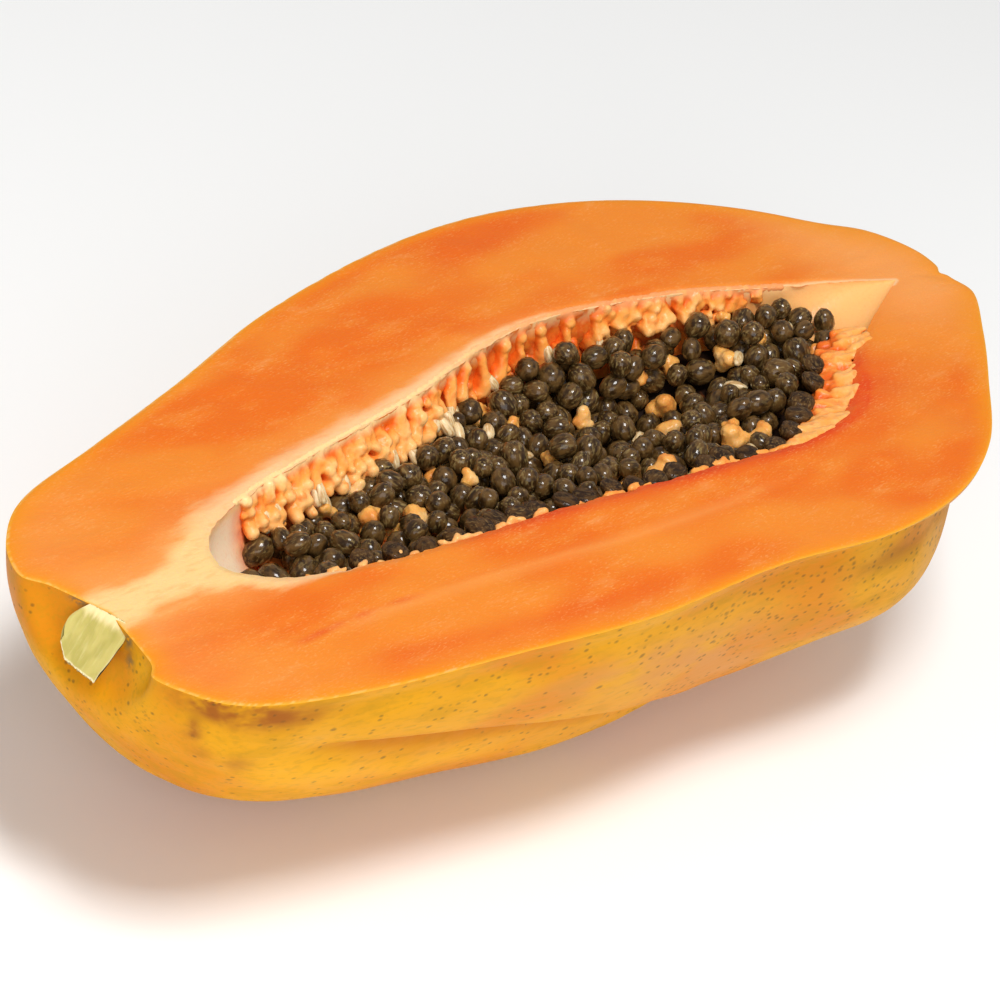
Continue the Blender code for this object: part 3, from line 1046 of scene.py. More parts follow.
    def store_skin(self, body: Piece, surface: Surface) -> None:
        """Store where the rind is bruised, freckled, scarred or still green, and its painted light and shade:
        painted shade in the stalk's dimple and along the crease, painted sheen on the tan patches, and
        painted light on the yellow patches by the stem.
        """
        x, y, _ = surface.points.T
        rows = np.where(surface.skin, surface.row, -9.0)
        for name, blotches in (("bruise", self.bruises_and_dimple_shade), ("bloom", self.tan_and_sheen_patches), ("sun", self.yellow_and_painted_light_patches)):
            set_trait(body, name, covered(blotches, rows, surface.angle))
        spots = sum(blotch.on(rows, surface.angle) for blotch in self.spots)
        spread = 0.16 + 0.26 * ease(-0.08, 0.04, x) + 0.08 * ease(60.0, 100.0, surface.angle)
        set_trait(body, "freckles", np.clip(spots + spread, 0.0, 1.0) * surface.skin)
        lobe = bell(y, 0.0060, 0.0060) * ease(0.1380, 0.1460, x)
        unripe = np.clip(lobe + 0.4 * ease(0.1485, 0.1515, x), 0.0, 0.8)
        set_trait(body, "green", surface.skin * unripe)
        # Painted shade along the crease, over the skin's own deeper colour there.
        offset = self.crease_offset(x, surface.angle)
        shaded = bell(offset, 1.2, 1.6) * 0.75 + bell(offset, 4.5, 3.5) * 0.25
        set_trait(body, "crease", surface.skin * shaded * between(x, (-0.128, -0.105), (-0.035, 0.000)))
        scars = sum(
            bell(surface.points, np.array(middle) * MM, np.array(size) * MM).prod(axis=1)
            for middle, size in self.scars
        )
        set_trait(body, "scar", np.clip(scars * 1.3, 0.0, 1.0) * surface.skin)

    def store_wall(self, body: Piece, surface: Surface) -> None:
        """Store where the cavity's wall is smooth: in the stem's hollow, at the tip and under the far lip."""
        x, y, _ = surface.points.T
        set_trait(body, "hollow", surface.wall * (1.0 - ease(-0.098, -0.088, x)))
        set_trait(body, "tip", surface.wall * ease(0.092, 0.104, x + 0.4 * (y - 0.006)))
        brink = (1.0 - ease(1.2 * MM, 4.5 * MM, surface.lip)) * (y > self.form.middle_at(x))
        set_trait(body, "brink", surface.wall * brink * (1.0 - ease(0.085, 0.120, x)))

    def store_zones(self, body: Piece, surface: Surface) -> None:
        """Store the cut face's cream core, its pale ends and the golden band inside the rim."""
        x, y, _ = surface.points.T
        near_side = y < 0.0
        channel = 6.8 - 2.0 * ease(-0.149, -0.138, x) + 5.0 * ease(-0.132, -0.113, x)
        middle = 0.5 + 1.5 * ease(-0.150, -0.120, x)
        off = np.abs(y / MM - middle)
        core = (1.0 - ease(channel - 4.0, channel + 3.5, off)) * (1.0 - ease(-0.116, -0.110, x))
        far_width = 6.5 - 2.3 * ease(-0.114, -0.085, x) - 1.4 * ease(-0.050, 0.010, x)
        far_width = far_width - 2.0 * ease(0.0, 0.050, x)
        near_width = 5.5 - 5.1 * ease(-0.114, -0.086, x)
        width = np.where(near_side, near_width, far_width) * MM
        lined = 1.0 - ease(0.15, 1.70, surface.lip / width)
        lined = lined * np.where(near_side, 1.0 - ease(-0.092, -0.080, x), 1.0)
        set_trait(body, "core", np.clip(np.maximum(core, lined), 0.0, 1.0))
        set_trait(body, "warm", ease(-0.118, -0.095, x))
        streak = bell(y, self.trail_at(x) - 0.0016, 0.0016) * between(x, (-0.112, -0.095), (0.010, 0.045))
        ends = (1.0 - ease(-0.152, -0.110, x)) * 0.35 + ease(0.112, 0.150, x) * 0.45
        ends = np.maximum(ends, ease(0.104, 0.136, x) * ease(-0.028, -0.004, y))
        beside_core = (1.0 - ease(channel, channel + 12.0, off)) * (1.0 - ease(-0.125, -0.095, x)) * 0.6
        beside_lip = 1.0 - ease(0.5, 3.5, surface.lip / np.maximum(width, 0.6 * MM))
        pale = streak * 0.5 + ends + beside_core + beside_lip * (1.0 - near_side) * 0.35
        set_trait(body, "pale", np.clip(pale, 0.0, 1.0))
        band = 4.5 + 3.5 * (1.0 - ease(-0.150, -0.090, x)) + 7.0 * ease(0.080, 0.140, x)
        set_trait(body, "rim", surface.rim / (band * MM))
        set_trait(body, "peel", 1.0 - ease(0.25, 0.75, surface.rim / MM))

    def trail_at(self, x: Array) -> Array:
        """Give where the faint crack runs along the near half of the cut face."""
        return -0.0290 - 0.0130 * ease(-0.115, 0.030, x)

    def store_reds(self, body: Piece, surface: Surface) -> None:
        """Store the redder flesh: a strip by the near lip, the crack, a line inside the rim and blushes."""
        x, y, _ = surface.points.T
        near_side = y < 0.0
        strip = (1.0 - ease(0.0012, 0.0058, surface.lip)) * between(x, (-0.070, -0.020), (0.085, 0.110))
        crack = bell(y, self.trail_at(x), 0.0005) * between(x, (-0.112, -0.100), (-0.070, -0.010)) * 0.6
        line = bell(surface.rim, 0.0085, 0.0030) * between(x, (-0.120, -0.100), (-0.035, -0.005)) * 0.4
        blush = sum(blotch.on(x, y) for blotch in self.blushes)
        set_trait(body, "red", np.clip((strip + line) * near_side + crack + blush, 0.0, 1.0))


@dataclass(frozen=True)
class SeedSkin:
    """Ripe papaya seed: a wrinkled olive-brown coat in a thin wet jelly, with paler veins lengthwise."""

    dark: str = "#32200d"
    brown: str = "#634724"
    vein: str = "#a08854"
    roughness: float = 0.30
    coat: float = 1.0

    def material(self, name: str, wrinkle_mm: float) -> Material:
        """Write the seed's material: a dark mottled skin with veins, wrinkled under a clear coat of jelly.

        Args:
            name: the material's name.
            wrinkle_mm: depth of the wrinkles.

        Returns:
            The material.
        """
        recipe = Recipe(name)
        (tone,) = recipe.traits("tone")
        mottle = recipe.grain(1.7, (0.6, 1.0, 1.0), 2.0, "seed_place")
        veins = recipe.grain(0.65, (0.34, 1.0, 1.0), 2.0, "seed_place")
        strength = recipe.step("Math", (tone, 0.6, 0.15), **TIMES_PLUS)
        veined = recipe.step("MapRange", (veins, 0.50, 0.70, 0.0, strength), **SOFT)
        mottled = recipe.step("MapRange", (mottle, 0.36, 0.64), **SOFT)
        depth = wrinkle_mm * MM
        jelly = depth * 1.2
        return recipe.finish(
            {
                "Base Color": recipe.lay(self.dark, (mottled, self.brown), (veined, self.vein)),
                "Roughness": self.roughness,
                "Normal": recipe.step("Bump", {"Height": veins, "Distance": depth, "Strength": 0.8}),
                "IOR": 1.42,
                "Specular IOR Level": 0.12,
                "Coat Weight": self.coat,
                "Coat Roughness": 0.07,
                "Coat IOR": 1.34,
                "Coat Normal": recipe.step("Bump", {"Height": mottle, "Distance": jelly, "Strength": 0.6}),
            }
        )


@dataclass(frozen=True)
class PaleSeedSkin:
    """Undeveloped papaya seed: dry-looking cream skin with fine lengthwise lines."""

    cream: str = "#ebd0a0"
    tan: str = "#c59a60"
    roughness: float = 0.38

    def material(self) -> Material:
        """Write the pale seed's material: cream, drawn over with fine tan lines."""
        recipe = Recipe("papaya_seed_undeveloped")
        lines = recipe.grain(0.7, (0.2, 1.0, 1.0), 2.0, "seed_place")
        lined = recipe.step("MapRange", (lines, 0.42, 0.66), **SOFT)
        return recipe.finish(
            {
                "Base Color": recipe.lay(self.cream, (lined, self.tan)),
                "Roughness": self.roughness,
                "Normal": recipe.step("Bump", {"Height": lines, "Distance": 0.15 * MM, "Strength": 0.7}),
                **glow(0.2, (1.0, 0.7, 0.4), 1.0),
            }
        )


@dataclass(frozen=True)
class Pulp:
    """Soft torn pulp of the seed cavity: wet, paler where it stands proud as painted light, and redder in its
    folds as painted shade.
    """

    fold_shade: str = "#ea681c"
    middle: str = "#fa9f45"
    proud: str = "#fcbf76"
    ripe: str = "#f98f3c"
    cream: str = "#ffd898"
    roughness: float = 0.32

    def material(self) -> Material:
        """Write the pulp's material: three tones by how far it stands out, painted shade in the folds and
        painted light on the proud parts, with ripe patches and a cream top.
        """
        recipe = Recipe("papaya_placenta_pulp")
        proud, cream = recipe.traits("proud", "cream")
        patches = recipe.grain(3.6, detail=2.0)
        fine = recipe.grain(0.8, detail=2.0)
        height = recipe.step("Math", (patches, 0.8, proud), **TIMES_PLUS)
        # Painted shade, redder in the folds, and painted light, paler where the pulp stands proud.
        colour = recipe.lay(
            self.fold_shade,
            (recipe.step("MapRange", (height, 0.50, 1.02), **SOFT), self.middle),
            (recipe.step("MapRange", (height, 0.90, 1.45), **SOFT), self.proud),
            (recipe.step("MapRange", (patches, 0.54, 0.70, 0.0, 0.8), **SOFT), self.ripe),
            (cream, self.cream),
        )
        return recipe.finish(
            {
                "Base Color": colour,
                "Roughness": self.roughness,
                "Normal": recipe.step("Bump", {"Height": fine, "Distance": 0.18 * MM, "Strength": 0.6}),
                "IOR": 1.38,
                "Specular IOR Level": 0.40,
                **glow(0.15, (1.0, 0.6, 0.25), 2.0),
            }
        )


@dataclass(frozen=True)
class RipePulp:
    """Ripe pulp among the seeds: soft lumps, wet and yellow-orange, a little translucent."""

    yellow: str = "#f2ae58"
    orange: str = "#ea9644"
    pale: str = "#f5c483"
    roughness: float = 0.30

    def material(self) -> Material:
        """Write the ripe pulp's material: three close tones in soft patches."""
        recipe = Recipe("papaya_ripe_pulp")
        patches = recipe.grain(7.0, detail=2.0)
        fine = recipe.grain(0.9, detail=2.0)
        colour = recipe.lay(
            self.orange,
            (recipe.step("MapRange", (patches, 0.36, 0.52), **SOFT), self.yellow),
            (recipe.step("MapRange", (patches, 0.52, 0.68, 0.0, 0.8), **SOFT), self.pale),
        )
        return recipe.finish(
            {
                "Base Color": colour,
                "Roughness": self.roughness,
                "Normal": recipe.step("Bump", {"Height": fine, "Distance": 0.16 * MM, "Strength": 0.6}),
                "IOR": 1.38,
                **glow(0.25, (1.0, 0.6, 0.2), 2.0),
            }
        )


@dataclass(frozen=True)
class HeapShade:
    """Painted shade between the seeds, deep in the heap: near black for dark seeds in shadow, with wet orange
    pulp.
    """

    dark: str = "#1d0f07"
    pulp: str = "#cf6a2a"
    roughness: float = 0.7

    def material(self) -> Material:
        """Write the heap core's material: near black painted shade, with pulp where the mesh says so."""
        recipe = Recipe("papaya_heap_shade_core")
        (pulpy,) = recipe.traits("pulpy")
        patches = recipe.grain(7.0, detail=2.0)
        share = recipe.step("Math", (patches, 1.4, pulpy), **TIMES_PLUS)
        pulped = recipe.step("MapRange", (share, 1.08, 1.36), **SOFT)
        return recipe.finish(
            {
                "Base Color": recipe.lay(self.dark, (pulped, self.pulp)),
                "Roughness": self.roughness,
                "Specular IOR Level": 0.10,
                "Normal": recipe.step("Bump", {"Height": patches, "Distance": 0.8 * MM, "Strength": 0.6}),
            }
        )


@dataclass(frozen=True)
class Strand:
    """One soft round-ended rod of pulp, from a start to an end."""

    start: Vector
    end: Vector
    start_radius: float
    end_radius: float


def ball(segments: int, rings: int) -> tuple[Array, list[tuple[int, ...]]]:
    """Model a small unit ball once, as points and faces to copy."""
    deselect()
    bpy.ops.mesh.primitive_uv_sphere_add(segments=segments, ring_count=rings, radius=1.0)
    made = bpy.context.object
    points = points_of(made)
    faces = [tuple(polygon.vertices) for polygon in made.data.polygons]
    bpy.data.objects.remove(made, do_unlink=True)
    return points, faces


def mesh_of(name: str, copies: Sequence[Array], faces: Sequence[tuple[int, ...]]) -> Piece:
    """Join copies of one shape, each with its own points, to one mesh.

    Args:
        name: the piece's name.
        copies: the points of each copy.
        faces: the faces of one copy.

    Returns:
        The joined piece.
    """
    starts = range(0, len(copies) * len(copies[0]), len(copies[0]))
    all_faces = [tuple(start + corner for corner in face) for start in starts for face in faces]
    data = bpy.data.meshes.new(name)
    data.from_pydata(np.concatenate(copies).tolist(), [], all_faces)
    made = bpy.data.objects.new(name, data)
    bpy.context.scene.collection.objects.link(made)
    return made


def soft_mass(name: str, strands: Sequence[Strand], voxel_mm: float, smoothing: int) -> Piece:
    """Melt overlapping strands to one soft mass.

    Args:
        name: the piece's name.
        strands: the rods that make it up.
        voxel_mm: size of the finest form that is kept.
        smoothing: how many times the mass is smoothed.

    Returns:
        The mass, as closed meshes in one object.
    """
    points, faces = ball(10, 8)
    upper = (points[:, 2] > 0.0)[:, None]
    copies = []
    for strand in strands:
        axis = strand.end - strand.start
        aimed = axis if axis.length > 1e-6 else Vector((0.0, 0.0, 1.0))
        turned = np.array(aimed.to_track_quat("Z", "Y").to_matrix())
        low = points @ turned.T * strand.start_radius + np.array(strand.start)
        high = points @ turned.T * strand.end_radius + np.array(strand.end)
        copies.append(np.where(upper, high, low))
    made = mesh_of(name, copies, faces)
    melt = made.modifiers.new("melt", "REMESH")
    melt.mode = "VOXEL"
    melt.voxel_size = voxel_mm * MM
    soften = made.modifiers.new("soften", "SMOOTH")
    soften.factor = 0.5
    soften.iterations = smoothing
    apply_modifiers(made)
    return made


def roughen(piece: Piece, size_mm: float, depth_mm: float) -> None:
    """Push a mass in and out by fine noise along its normals."""
    points = points_of(piece)
    normals = np.empty(len(points) * 3)
    piece.data.vertex_normals.foreach_get("vector", normals)
    height = fractal(points, size_mm, 3) * depth_mm * MM
    move_points(piece, points + normals.reshape(-1, 3) * height[:, None])
    smooth(piece, 180.0)


@dataclass
class Placenta:
    """Lumps, ridges, pockets and stalks of soft tissue on the cavity's wall, and torn strips opposite."""

    form: FruitForm
    chance: np.random.Generator
    lump_span: tuple[float, float] = (-0.0900, -0.0140)
    arch_span: tuple[float, float] = (-0.0300, 0.0560)
    arch_gap_mm: tuple[float, float] = (6.5, 10.0)
    open_span: tuple[float, float] = (-0.0300, -0.0180)
    end_span: tuple[float, float] = (0.0500, 0.0970)
    strip_span: tuple[float, float] = (0.0500, 0.1060)
    crumb_span: tuple[float, float] = (-0.0960, 0.0640)
    lump_count: int = 165
    stalk_count: int = 14
    pocket_lumps: int = 5
    end_count: int = 105
    strip_count: int = 205
    base_strips: int = 95
    crumb_tries: int = 300
    voxel_mm: float = 0.45
    smoothing: int = 5
    stalks: list[tuple[Vector, Vector]] = field(default_factory=list)

    def on_wall(self, x: float, z: float, proud: float) -> Vector:
        """Give a point that stands this far out of the far wall itself."""
        return Vector((x, self.form.wall_at(x, z)[0] - proud, z))

    def on_tissue(self, x: float, z: float, proud: float) -> Vector:
        """Give a point that stands this far out of the soft tissue's mean surface."""
        return self.on_wall(x, z, self.form.tissue_at(x, z) + proud)

    def spread(self, low: float, high: float) -> float:
        """Draw a number between two limits in millimetres, in metres."""
        return self.chance.uniform(low, high) * MM

    def string(self, stops: Sequence[Vector], radii: Sequence[float]) -> list[Strand]:
        """Run strands through stops."""
        return [Strand(*pair, *sizes) for pair, sizes in zip(zip(stops, stops[1:]), zip(radii, radii[1:]))]

    def finger(self, x: float, z: float, proud: float, radius: float) -> Strand:
        """Grow a rounded lump out of the wall to the tissue's surface."""
        root = self.on_wall(x + self.spread(-1.0, 1.0), min(z + self.spread(-0.5, 2.0), -1.4 * MM), 0.3 * MM)
        return Strand(root, self.on_tissue(x, z, proud), radius * 0.8, radius)

    def lumps(self) -> list[Strand]:
        """Crowd rounded lumps on the stem half of the far wall, with sockets left between them."""
        strands = []
        for _ in range(self.lump_count):
            x = self.chance.uniform(*self.lump_span)
            z = -self.spread(3.4, 11.5)
            strands.append(self.finger(x, z, self.spread(-1.8, 0.9), self.spread(0.8, 2.1)))
        for _ in range(self.stalk_count):
            x = self.chance.uniform(self.lump_span[0] + 0.004, self.lump_span[1] + 0.006)
            self.add_stalk(strands, x, -self.spread(4.0, 9.0))
        return strands

    def arches(self, pillars: Sequence[float]) -> list[Strand]:
        """Stand pillars along the middle of the far wall, with a rounded pocket between each two."""
        strands: list[Strand] = []
        for x, after in zip(pillars, list(pillars[1:]) + [pillars[-1] + 7.0 * MM]):
            slant = self.spread(-3.0, 1.5)
            length = self.spread(4.5, 8.5)
            lean = self.spread(-1.2, 0.0)
            stops = []
            for share in (0.0, 0.2, 0.4, 0.6, 0.8, 1.0):
                z = -3.8 * MM - length * share
                stops.append(self.on_tissue(x + slant * share, z, lean + self.spread(-0.2, 0.2) - 0.6 * MM))
            thin = self.spread(1.0, 1.5)
            radii = [thin + flare * MM for flare in (0.5, 0.3, 0.1, 0.1, 0.5, 1.0)]
            strands += self.string(stops, radii)
            for stop, radius in zip(stops, radii):
                root = self.on_wall(stop.x, stop.z, 0.2 * MM)
                strands.append(Strand(root, stop, radius * 1.1, radius * 0.8))
            strands += self.pocket(x, after - x)
            if self.chance.random() < 0.5:
                self.add_stalk(strands, x + slant * 0.6, -self.spread(5.0, 8.0))
        return strands

    def pocket(self, x: float, gap: float) -> list[Strand]:
        """Leave small lumps in the pocket between two pillars."""
        strands = []
        for _ in range(self.pocket_lumps):
            lump_x = x + gap * self.chance.uniform(0.0, 1.0)
            lump_z = -self.spread(9.0, 15.0)
            root = self.on_wall(lump_x, lump_z, self.spread(-0.4, 1.0))
            tip = root + Vector((self.spread(-0.8, 0.8), -self.spread(0.3, 2.4), -self.spread(-0.5, 2.0)))
            strands.append(Strand(root, tip, self.spread(0.9, 1.6), self.spread(0.8, 1.5)))
        return strands

    def add_stalk(self, strands: list[Strand], x: float, z: float) -> None:
        """Grow a short stalk out of the tissue, with room for a pale seed on its tip."""
        root = self.on_tissue(x, z, -0.8 * MM)
        out = Vector((self.spread(-1.5, 1.5), -self.spread(1.2, 3.0), -self.spread(1.0, 3.0)))
        tip = root + out
        strands.append(Strand(root, tip, self.spread(1.0, 1.4), self.spread(0.8, 1.1)))
        self.stalks.append((tip, Vector((out.x * 0.6, out.y, out.z * 1.4)).normalized()))

    def end_lumps(self) -> list[Strand]:
        """Leave smaller lumps and deep pockets towards the blossom end of the far wall."""
        strands = []
        for _ in range(self.end_count):
            x = self.chance.uniform(*self.end_span)
            fade = 1.0 - 0.35 * ease(0.080, 0.100, x)
            z = -self.spread(2.0, 9.0) * fade
            strands.append(self.finger(x, z, self.spread(-1.2, 0.8), self.spread(0.8, 1.7) * fade))
        return strands

    def brow(self, pillars: Sequence[float]) -> list[Strand]:
        """Slope the tissue in from the far lip, and round it off over the pockets.

        Args:
            pillars: where the pillars between the pockets stand.

        Returns:
            The sloping rods, side by side.
        """
        strands = []
        for x in np.arange(self.lump_span[0] - 0.004, self.end_span[1] + 0.006, 0.0011):
            gap = min(abs(x - stand) for stand in pillars)
            wander = 1.2 * noise.noise(Vector((x * 160.0, 1.0, 0.0)))
            opened = between(x, self.open_span, (0.050, 0.062))
            reach = 3.9 - 0.9 * opened + 2.0 * bell(gap, 0.0, 1.9 * MM) + wander * (1.0 - 0.7 * opened)
            fade = between(x, (-0.094, -0.086), (0.080, 0.103))
            start = self.on_wall(x, -1.35 * MM, -1.1 * MM)
            end = self.on_tissue(x, -reach * MM, -(2.0 + 1.2 * (1.0 - fade)) * MM)
            strands.append(Strand(start, end, 1.25 * MM, (0.7 + 0.7 * fade) * MM))
        return strands

    def torn_strips(self) -> list[Strand]:
        """Lay torn flakes of pulp on the shelf between the seeds and the near lip, at the blossom half."""
        strands: list[Strand] = []
        for turn in range(self.strip_count):
            x = self.chance.uniform(*self.strip_span)
            inward = self.chance.uniform(0.0, 1.0) * (self.form.shelf_at(x) + 1.2 * MM)
            base = turn < self.base_strips
            lip = self.form.cavity_at(x)[1]
            sunk = (3.2 if base else 0.9) * MM + inward * 0.25 + self.spread(0.0, 1.3)
            start = Vector((x, lip + inward, -sunk))
            run = self.spread(2.0, 5.0) if base else self.spread(3.0, 9.0)
            heading = self.chance.normal(-0.48, 0.30)
            end = start + Vector((math.cos(heading), math.sin(heading), 0.20)) * run
            end_lip = self.form.cavity_at(end.x)[1]
            end.y = max(end.y, end_lip - (0.0 if base else self.spread(0.3, 2.6)))
            end.z = min(end.z, (-1.6 if base else -0.5) * MM)
            sizes = (1.6, 2.3) if base else (0.7, 1.6)
            tip = self.spread(1.2, 1.8) if base else self.spread(0.45, 0.9)
            strands.append(Strand(start, end, self.spread(*sizes), tip))
        return strands

    def lip_crumbs(self) -> list[Strand]:
        """Leave crumbs of pulp all along the near lip."""
        strands = []
        for _ in range(self.crumb_tries):
            x = self.chance.uniform(*self.crumb_span)
            if noise.noise(Vector((x * 120.0, 4.0, 0.0))) + self.chance.normal(0.0, 0.12) < 0.02:
                continue
            lip = self.form.cavity_at(x)[1]
            start = Vector((x, lip + self.spread(0.2, 1.8), -self.spread(1.3, 3.4)))
            end = start + Vector((self.spread(-2.6, 2.6), self.spread(0.0, 1.1), self.spread(-0.8, 0.2)))
            strands.append(Strand(start, end, self.spread(0.5, 1.15), self.spread(0.5, 1.1)))
        return strands

    def build(self) -> Piece:
        """Model all the tissue as one soft mass and dress it."""
        pillars = [self.arch_span[0]]
        while pillars[-1] < self.arch_span[1]:
            pillars.append(pillars[-1] + self.spread(*self.arch_gap_mm))
        strands = self.lumps() + self.arches(pillars) + self.end_lumps() + self.brow(pillars)
        strands += self.torn_strips() + self.lip_crumbs()
        mass = soft_mass("papaya_placenta", strands, self.voxel_mm, self.smoothing)
        roughen(mass, 1.5, 0.16)
        points = points_of(mass)
        x, y, z = points.T
        # How far the pulp stands out sets its painted shade, redder in the folds, and its painted light,
        # paler where it stands proud; on the near side the higher strips are painted paler.
        out = (self.form.wall_at(x, z)[0] - y) / (self.form.tissue_at(x, z) + 2.2 * MM)
        near_side = y < self.form.middle_at(x)
        torn = 0.16 + 0.62 * ease(-3.2 * MM, -1.0 * MM, z)
        near_tone = np.where(x < self.strip_span[0], 0.60, torn)
        set_trait(mass, "proud", np.where(near_side, near_tone, np.clip(out, -0.3, 1.2)))
        upper = 1.0 - ease(0.9 * MM, 3.2 * MM, -z)
        along = np.where(near_side, 0.35 * (1.0 - ease(-0.06, 0.0, x)), 0.9 - 0.55 * ease(-0.03, 0.05, x))
        set_trait(mass, "cream", upper * along)
        mass.data.materials.append(Pulp().material())
        return mass


class Kind(Enum):
    """What lies in the heap."""

    SEED = 0
    SLICED = 1
    PALE = 2
    LUMP = 3


@dataclass
class SeedHeap:
    """The loose seeds, pale seeds and lumps of pulp that fill the cavity."""

    form: FruitForm
    chance: np.random.Generator
    span: tuple[float, float] = (-0.1045, 0.1060)
    core_drop_mm: float = 9.5
    core_cell_mm: float = 6.2
    core_bump_mm: float = 3.0
    core_grid: tuple[int, int] = (150, 50)
    pit_along: tuple[float, float] = (0.046, 0.012)
    pit_across: tuple[float, float] = (0.008, 0.008)
    pit_drop_mm: float = 5.0
    pit_gap_mm: float = 7.5
    seed_radius_mm: float = 3.4
    long_share: float = 1.13
    tries: int = 3200
    roll_steps: int = 20
    roll_mm: float = 0.8
    search: float = 0.022
    settled: float = 0.95
    sliced_span: tuple[float, float] = (-0.0800, 0.0900)
    cut_span: tuple[float, float] = (-0.0850, 0.0950)
    cut_depth_mm: float = 7.0
    cut_reach_mm: float = 4.6
    bare_to: float = -0.0860
    lump_sink_mm: float = 3.0
    pale_radius_mm: float = 1.9
    first: tuple[tuple[float, float, float], ...] = (
        (-0.1001, 0.0013, 3.4),
        (-0.0938, 0.0006, 4.0),
        (-0.0880, 0.0115, 3.7),
        (0.1085, 0.0032, 3.1),
        (0.1040, 0.0078, 3.5),
        (0.0885, 0.0145, 3.5),
        (0.0756, 0.0190, 3.4),
        (0.0482, 0.0235, 3.3),
        (0.0412, 0.0235, 3.2),
    )
    bodies: list[tuple[float, float, float, float, Kind]] = field(default_factory=list)

    def pit_at(self, x: Number, y: Number) -> Number:
        """Give how far a place lies in the deep gap near the heap's middle, from 0 to 1."""
        return bell(x, *self.pit_along) * bell(y, *self.pit_across)

    def floor_at(self, x: Number, y: Number) -> Number:
        """Give the height of what the loose bodies lie on."""
        drop = (self.core_drop_mm + self.pit_drop_mm * self.pit_at(x, y)) * MM
        return np.maximum(-self.form.sink(x, y) - drop, self.form.floor(x, y))

    def limits_at(self, x: Array, radius: float) -> tuple[Array, Array]:
        """Give how far to the near and the far side a body may lie."""
        upper = np.full_like(x, -4.0 * MM)
        lower = np.full_like(x, -8.0 * MM)
        _, near_y = self.form.wall_at(x, upper)
        far_y, _ = self.form.wall_at(x, lower)
        far_y = far_y - self.form.tissue_at(x, lower)
        near_y = near_y + self.form.shelf_at(x)
        return near_y + radius * 0.55, far_y - radius * 0.70

    def rest(self, spots: Array, radius: float, around: Array) -> Array:
        """Give the height at which a body comes to rest at each spot."""
        x, y = spots.T
        level = self.floor_at(x, y) + radius * 0.9
        low, high = self.limits_at(x, radius)
        if len(around):
            gaps = np.hypot(x[:, None] - around[None, :, 0], y[:, None] - around[None, :, 1])
            touch = (around[None, :, 3] + radius) * self.settled
            over = np.sqrt(np.maximum(touch**2 - gaps**2, 0.0)) + around[None, :, 2]
            level = np.maximum(level, np.where(gaps < touch, over, -1.0).max(axis=1))
        inside = (y >= low) & (y <= high) & (x > self.span[0]) & (x < self.span[1])
        return np.where(inside, level, 1.0)

    def roll(self, spot: Array, radius: float) -> tuple[Array, float]:
        """Let a body roll downhill in short steps from where it drops."""
        known = np.array([body[:4] for body in self.bodies])
        around = known[np.hypot(known[:, 0] - spot[0], known[:, 1] - spot[1]) < self.search]
        height = float(self.rest(spot[None, :], radius, around)[0])
        for _ in range(self.roll_steps):
            turns = self.chance.uniform(0.0, 2.0 * math.pi, 6)
            tried = spot + np.stack([np.cos(turns), np.sin(turns)], axis=1) * self.roll_mm * MM
            heights = self.rest(tried, radius, around)
            best = int(heights.argmin())
            if heights[best] < height:
                spot = tried[best]
                height = float(heights[best])
        return spot, height

    def crown_at(self, x: float, y: float) -> float:
        """Give the heap's mean height: it climbs the far wall, and ends short of the stem's hollow."""
        climb = 5.0 * (ease(0.010, 0.020, y) * ease(0.000, 0.035, x)) * (1.0 - 0.7 * ease(0.055, 0.070, x))
        bare = 12.0 * (1.0 - ease(-0.094, -0.086, x - 0.3 * y))
        return -self.form.sink(x, y) + (climb - bare) * MM

    def top_at(self, x: float, y: float) -> float:
        """Give how high one body may reach: uneven all over, with deep gaps in the heap's middle."""
        place = Vector((x, y, 0.0)) / MM
        calm = 1.0 - 0.7 * ease(0.010, 0.020, y)
        swell = noise.noise(place / 15.0) * 3.0 * calm
        pits = ease(0.00, 0.25, noise.noise(place / 7.5 + Vector((5.0, 3.0, 0.0)))) * calm
        play = self.chance.normal(0.0, 1.2)
        gap = pits * 3.2 + self.pit_at(x, y) * self.pit_gap_mm
        return self.crown_at(x, y) + (1.5 + swell + play - gap) * MM

    def draw(self, x: float, y: float) -> tuple[Kind, float]:
        """Draw what is dropped at a place, and its mean radius."""
        far, near, _ = self.form.cavity_at(x)
        near_gap = (y - near) / MM
        far_gap = (far - y) / MM
        stem_half = 1.0 - ease(-0.040, 0.020, x)
        lump = 0.20 + 0.08 * stem_half + 0.05 * (ease(0.050, 0.080, x) * (near_gap < 18.0))
        pale = 0.006 + 0.020 * (far_gap < 12.0) * (x < 0.02) + 0.025 * (near_gap < 7.0)
        chosen = self.chance.random()
        size = float(np.clip(self.chance.normal(1.0, 0.11), 0.78, 1.28)) * self.seed_radius_mm * MM
        if chosen < lump:
            return Kind.LUMP, size * self.chance.uniform(0.60, 1.15)
        if chosen < lump + pale:
            return Kind.PALE, self.pale_radius_mm * MM
        return Kind.SEED, size

    def pour(self) -> None:
        """Drop the bodies one by one, and keep those that come to rest under the heap's top."""
        for x, y, radius_mm in self.first:
            height = self.floor_at(x, y) + radius_mm * MM
            level = max(height, self.crown_at(x, y) - radius_mm * MM * 0.8)
            self.bodies.append((x, y, level, radius_mm * MM, Kind.SEED))
        self.lay_beside_lip()
        for _ in range(self.tries):
            x = self.chance.uniform(*self.span)
            low, high = self.limits_at(np.array([x]), 2.0 * MM)
            if low[0] >= high[0]:
                continue
            y = self.chance.uniform(low[0], high[0])
            kind, radius = self.draw(x, y)
            spot, height = self.roll(np.array((x, y)), radius)
            sunk = self.lump_sink_mm * MM if kind is Kind.LUMP else 0.0
            ground = self.floor_at(*spot) if spot[0] > self.bare_to else -1.0
            if height + radius + sunk < max(self.top_at(*spot), ground + 2.2 * radius):
                self.bodies.append((float(spot[0]), float(spot[1]), height, radius, kind))

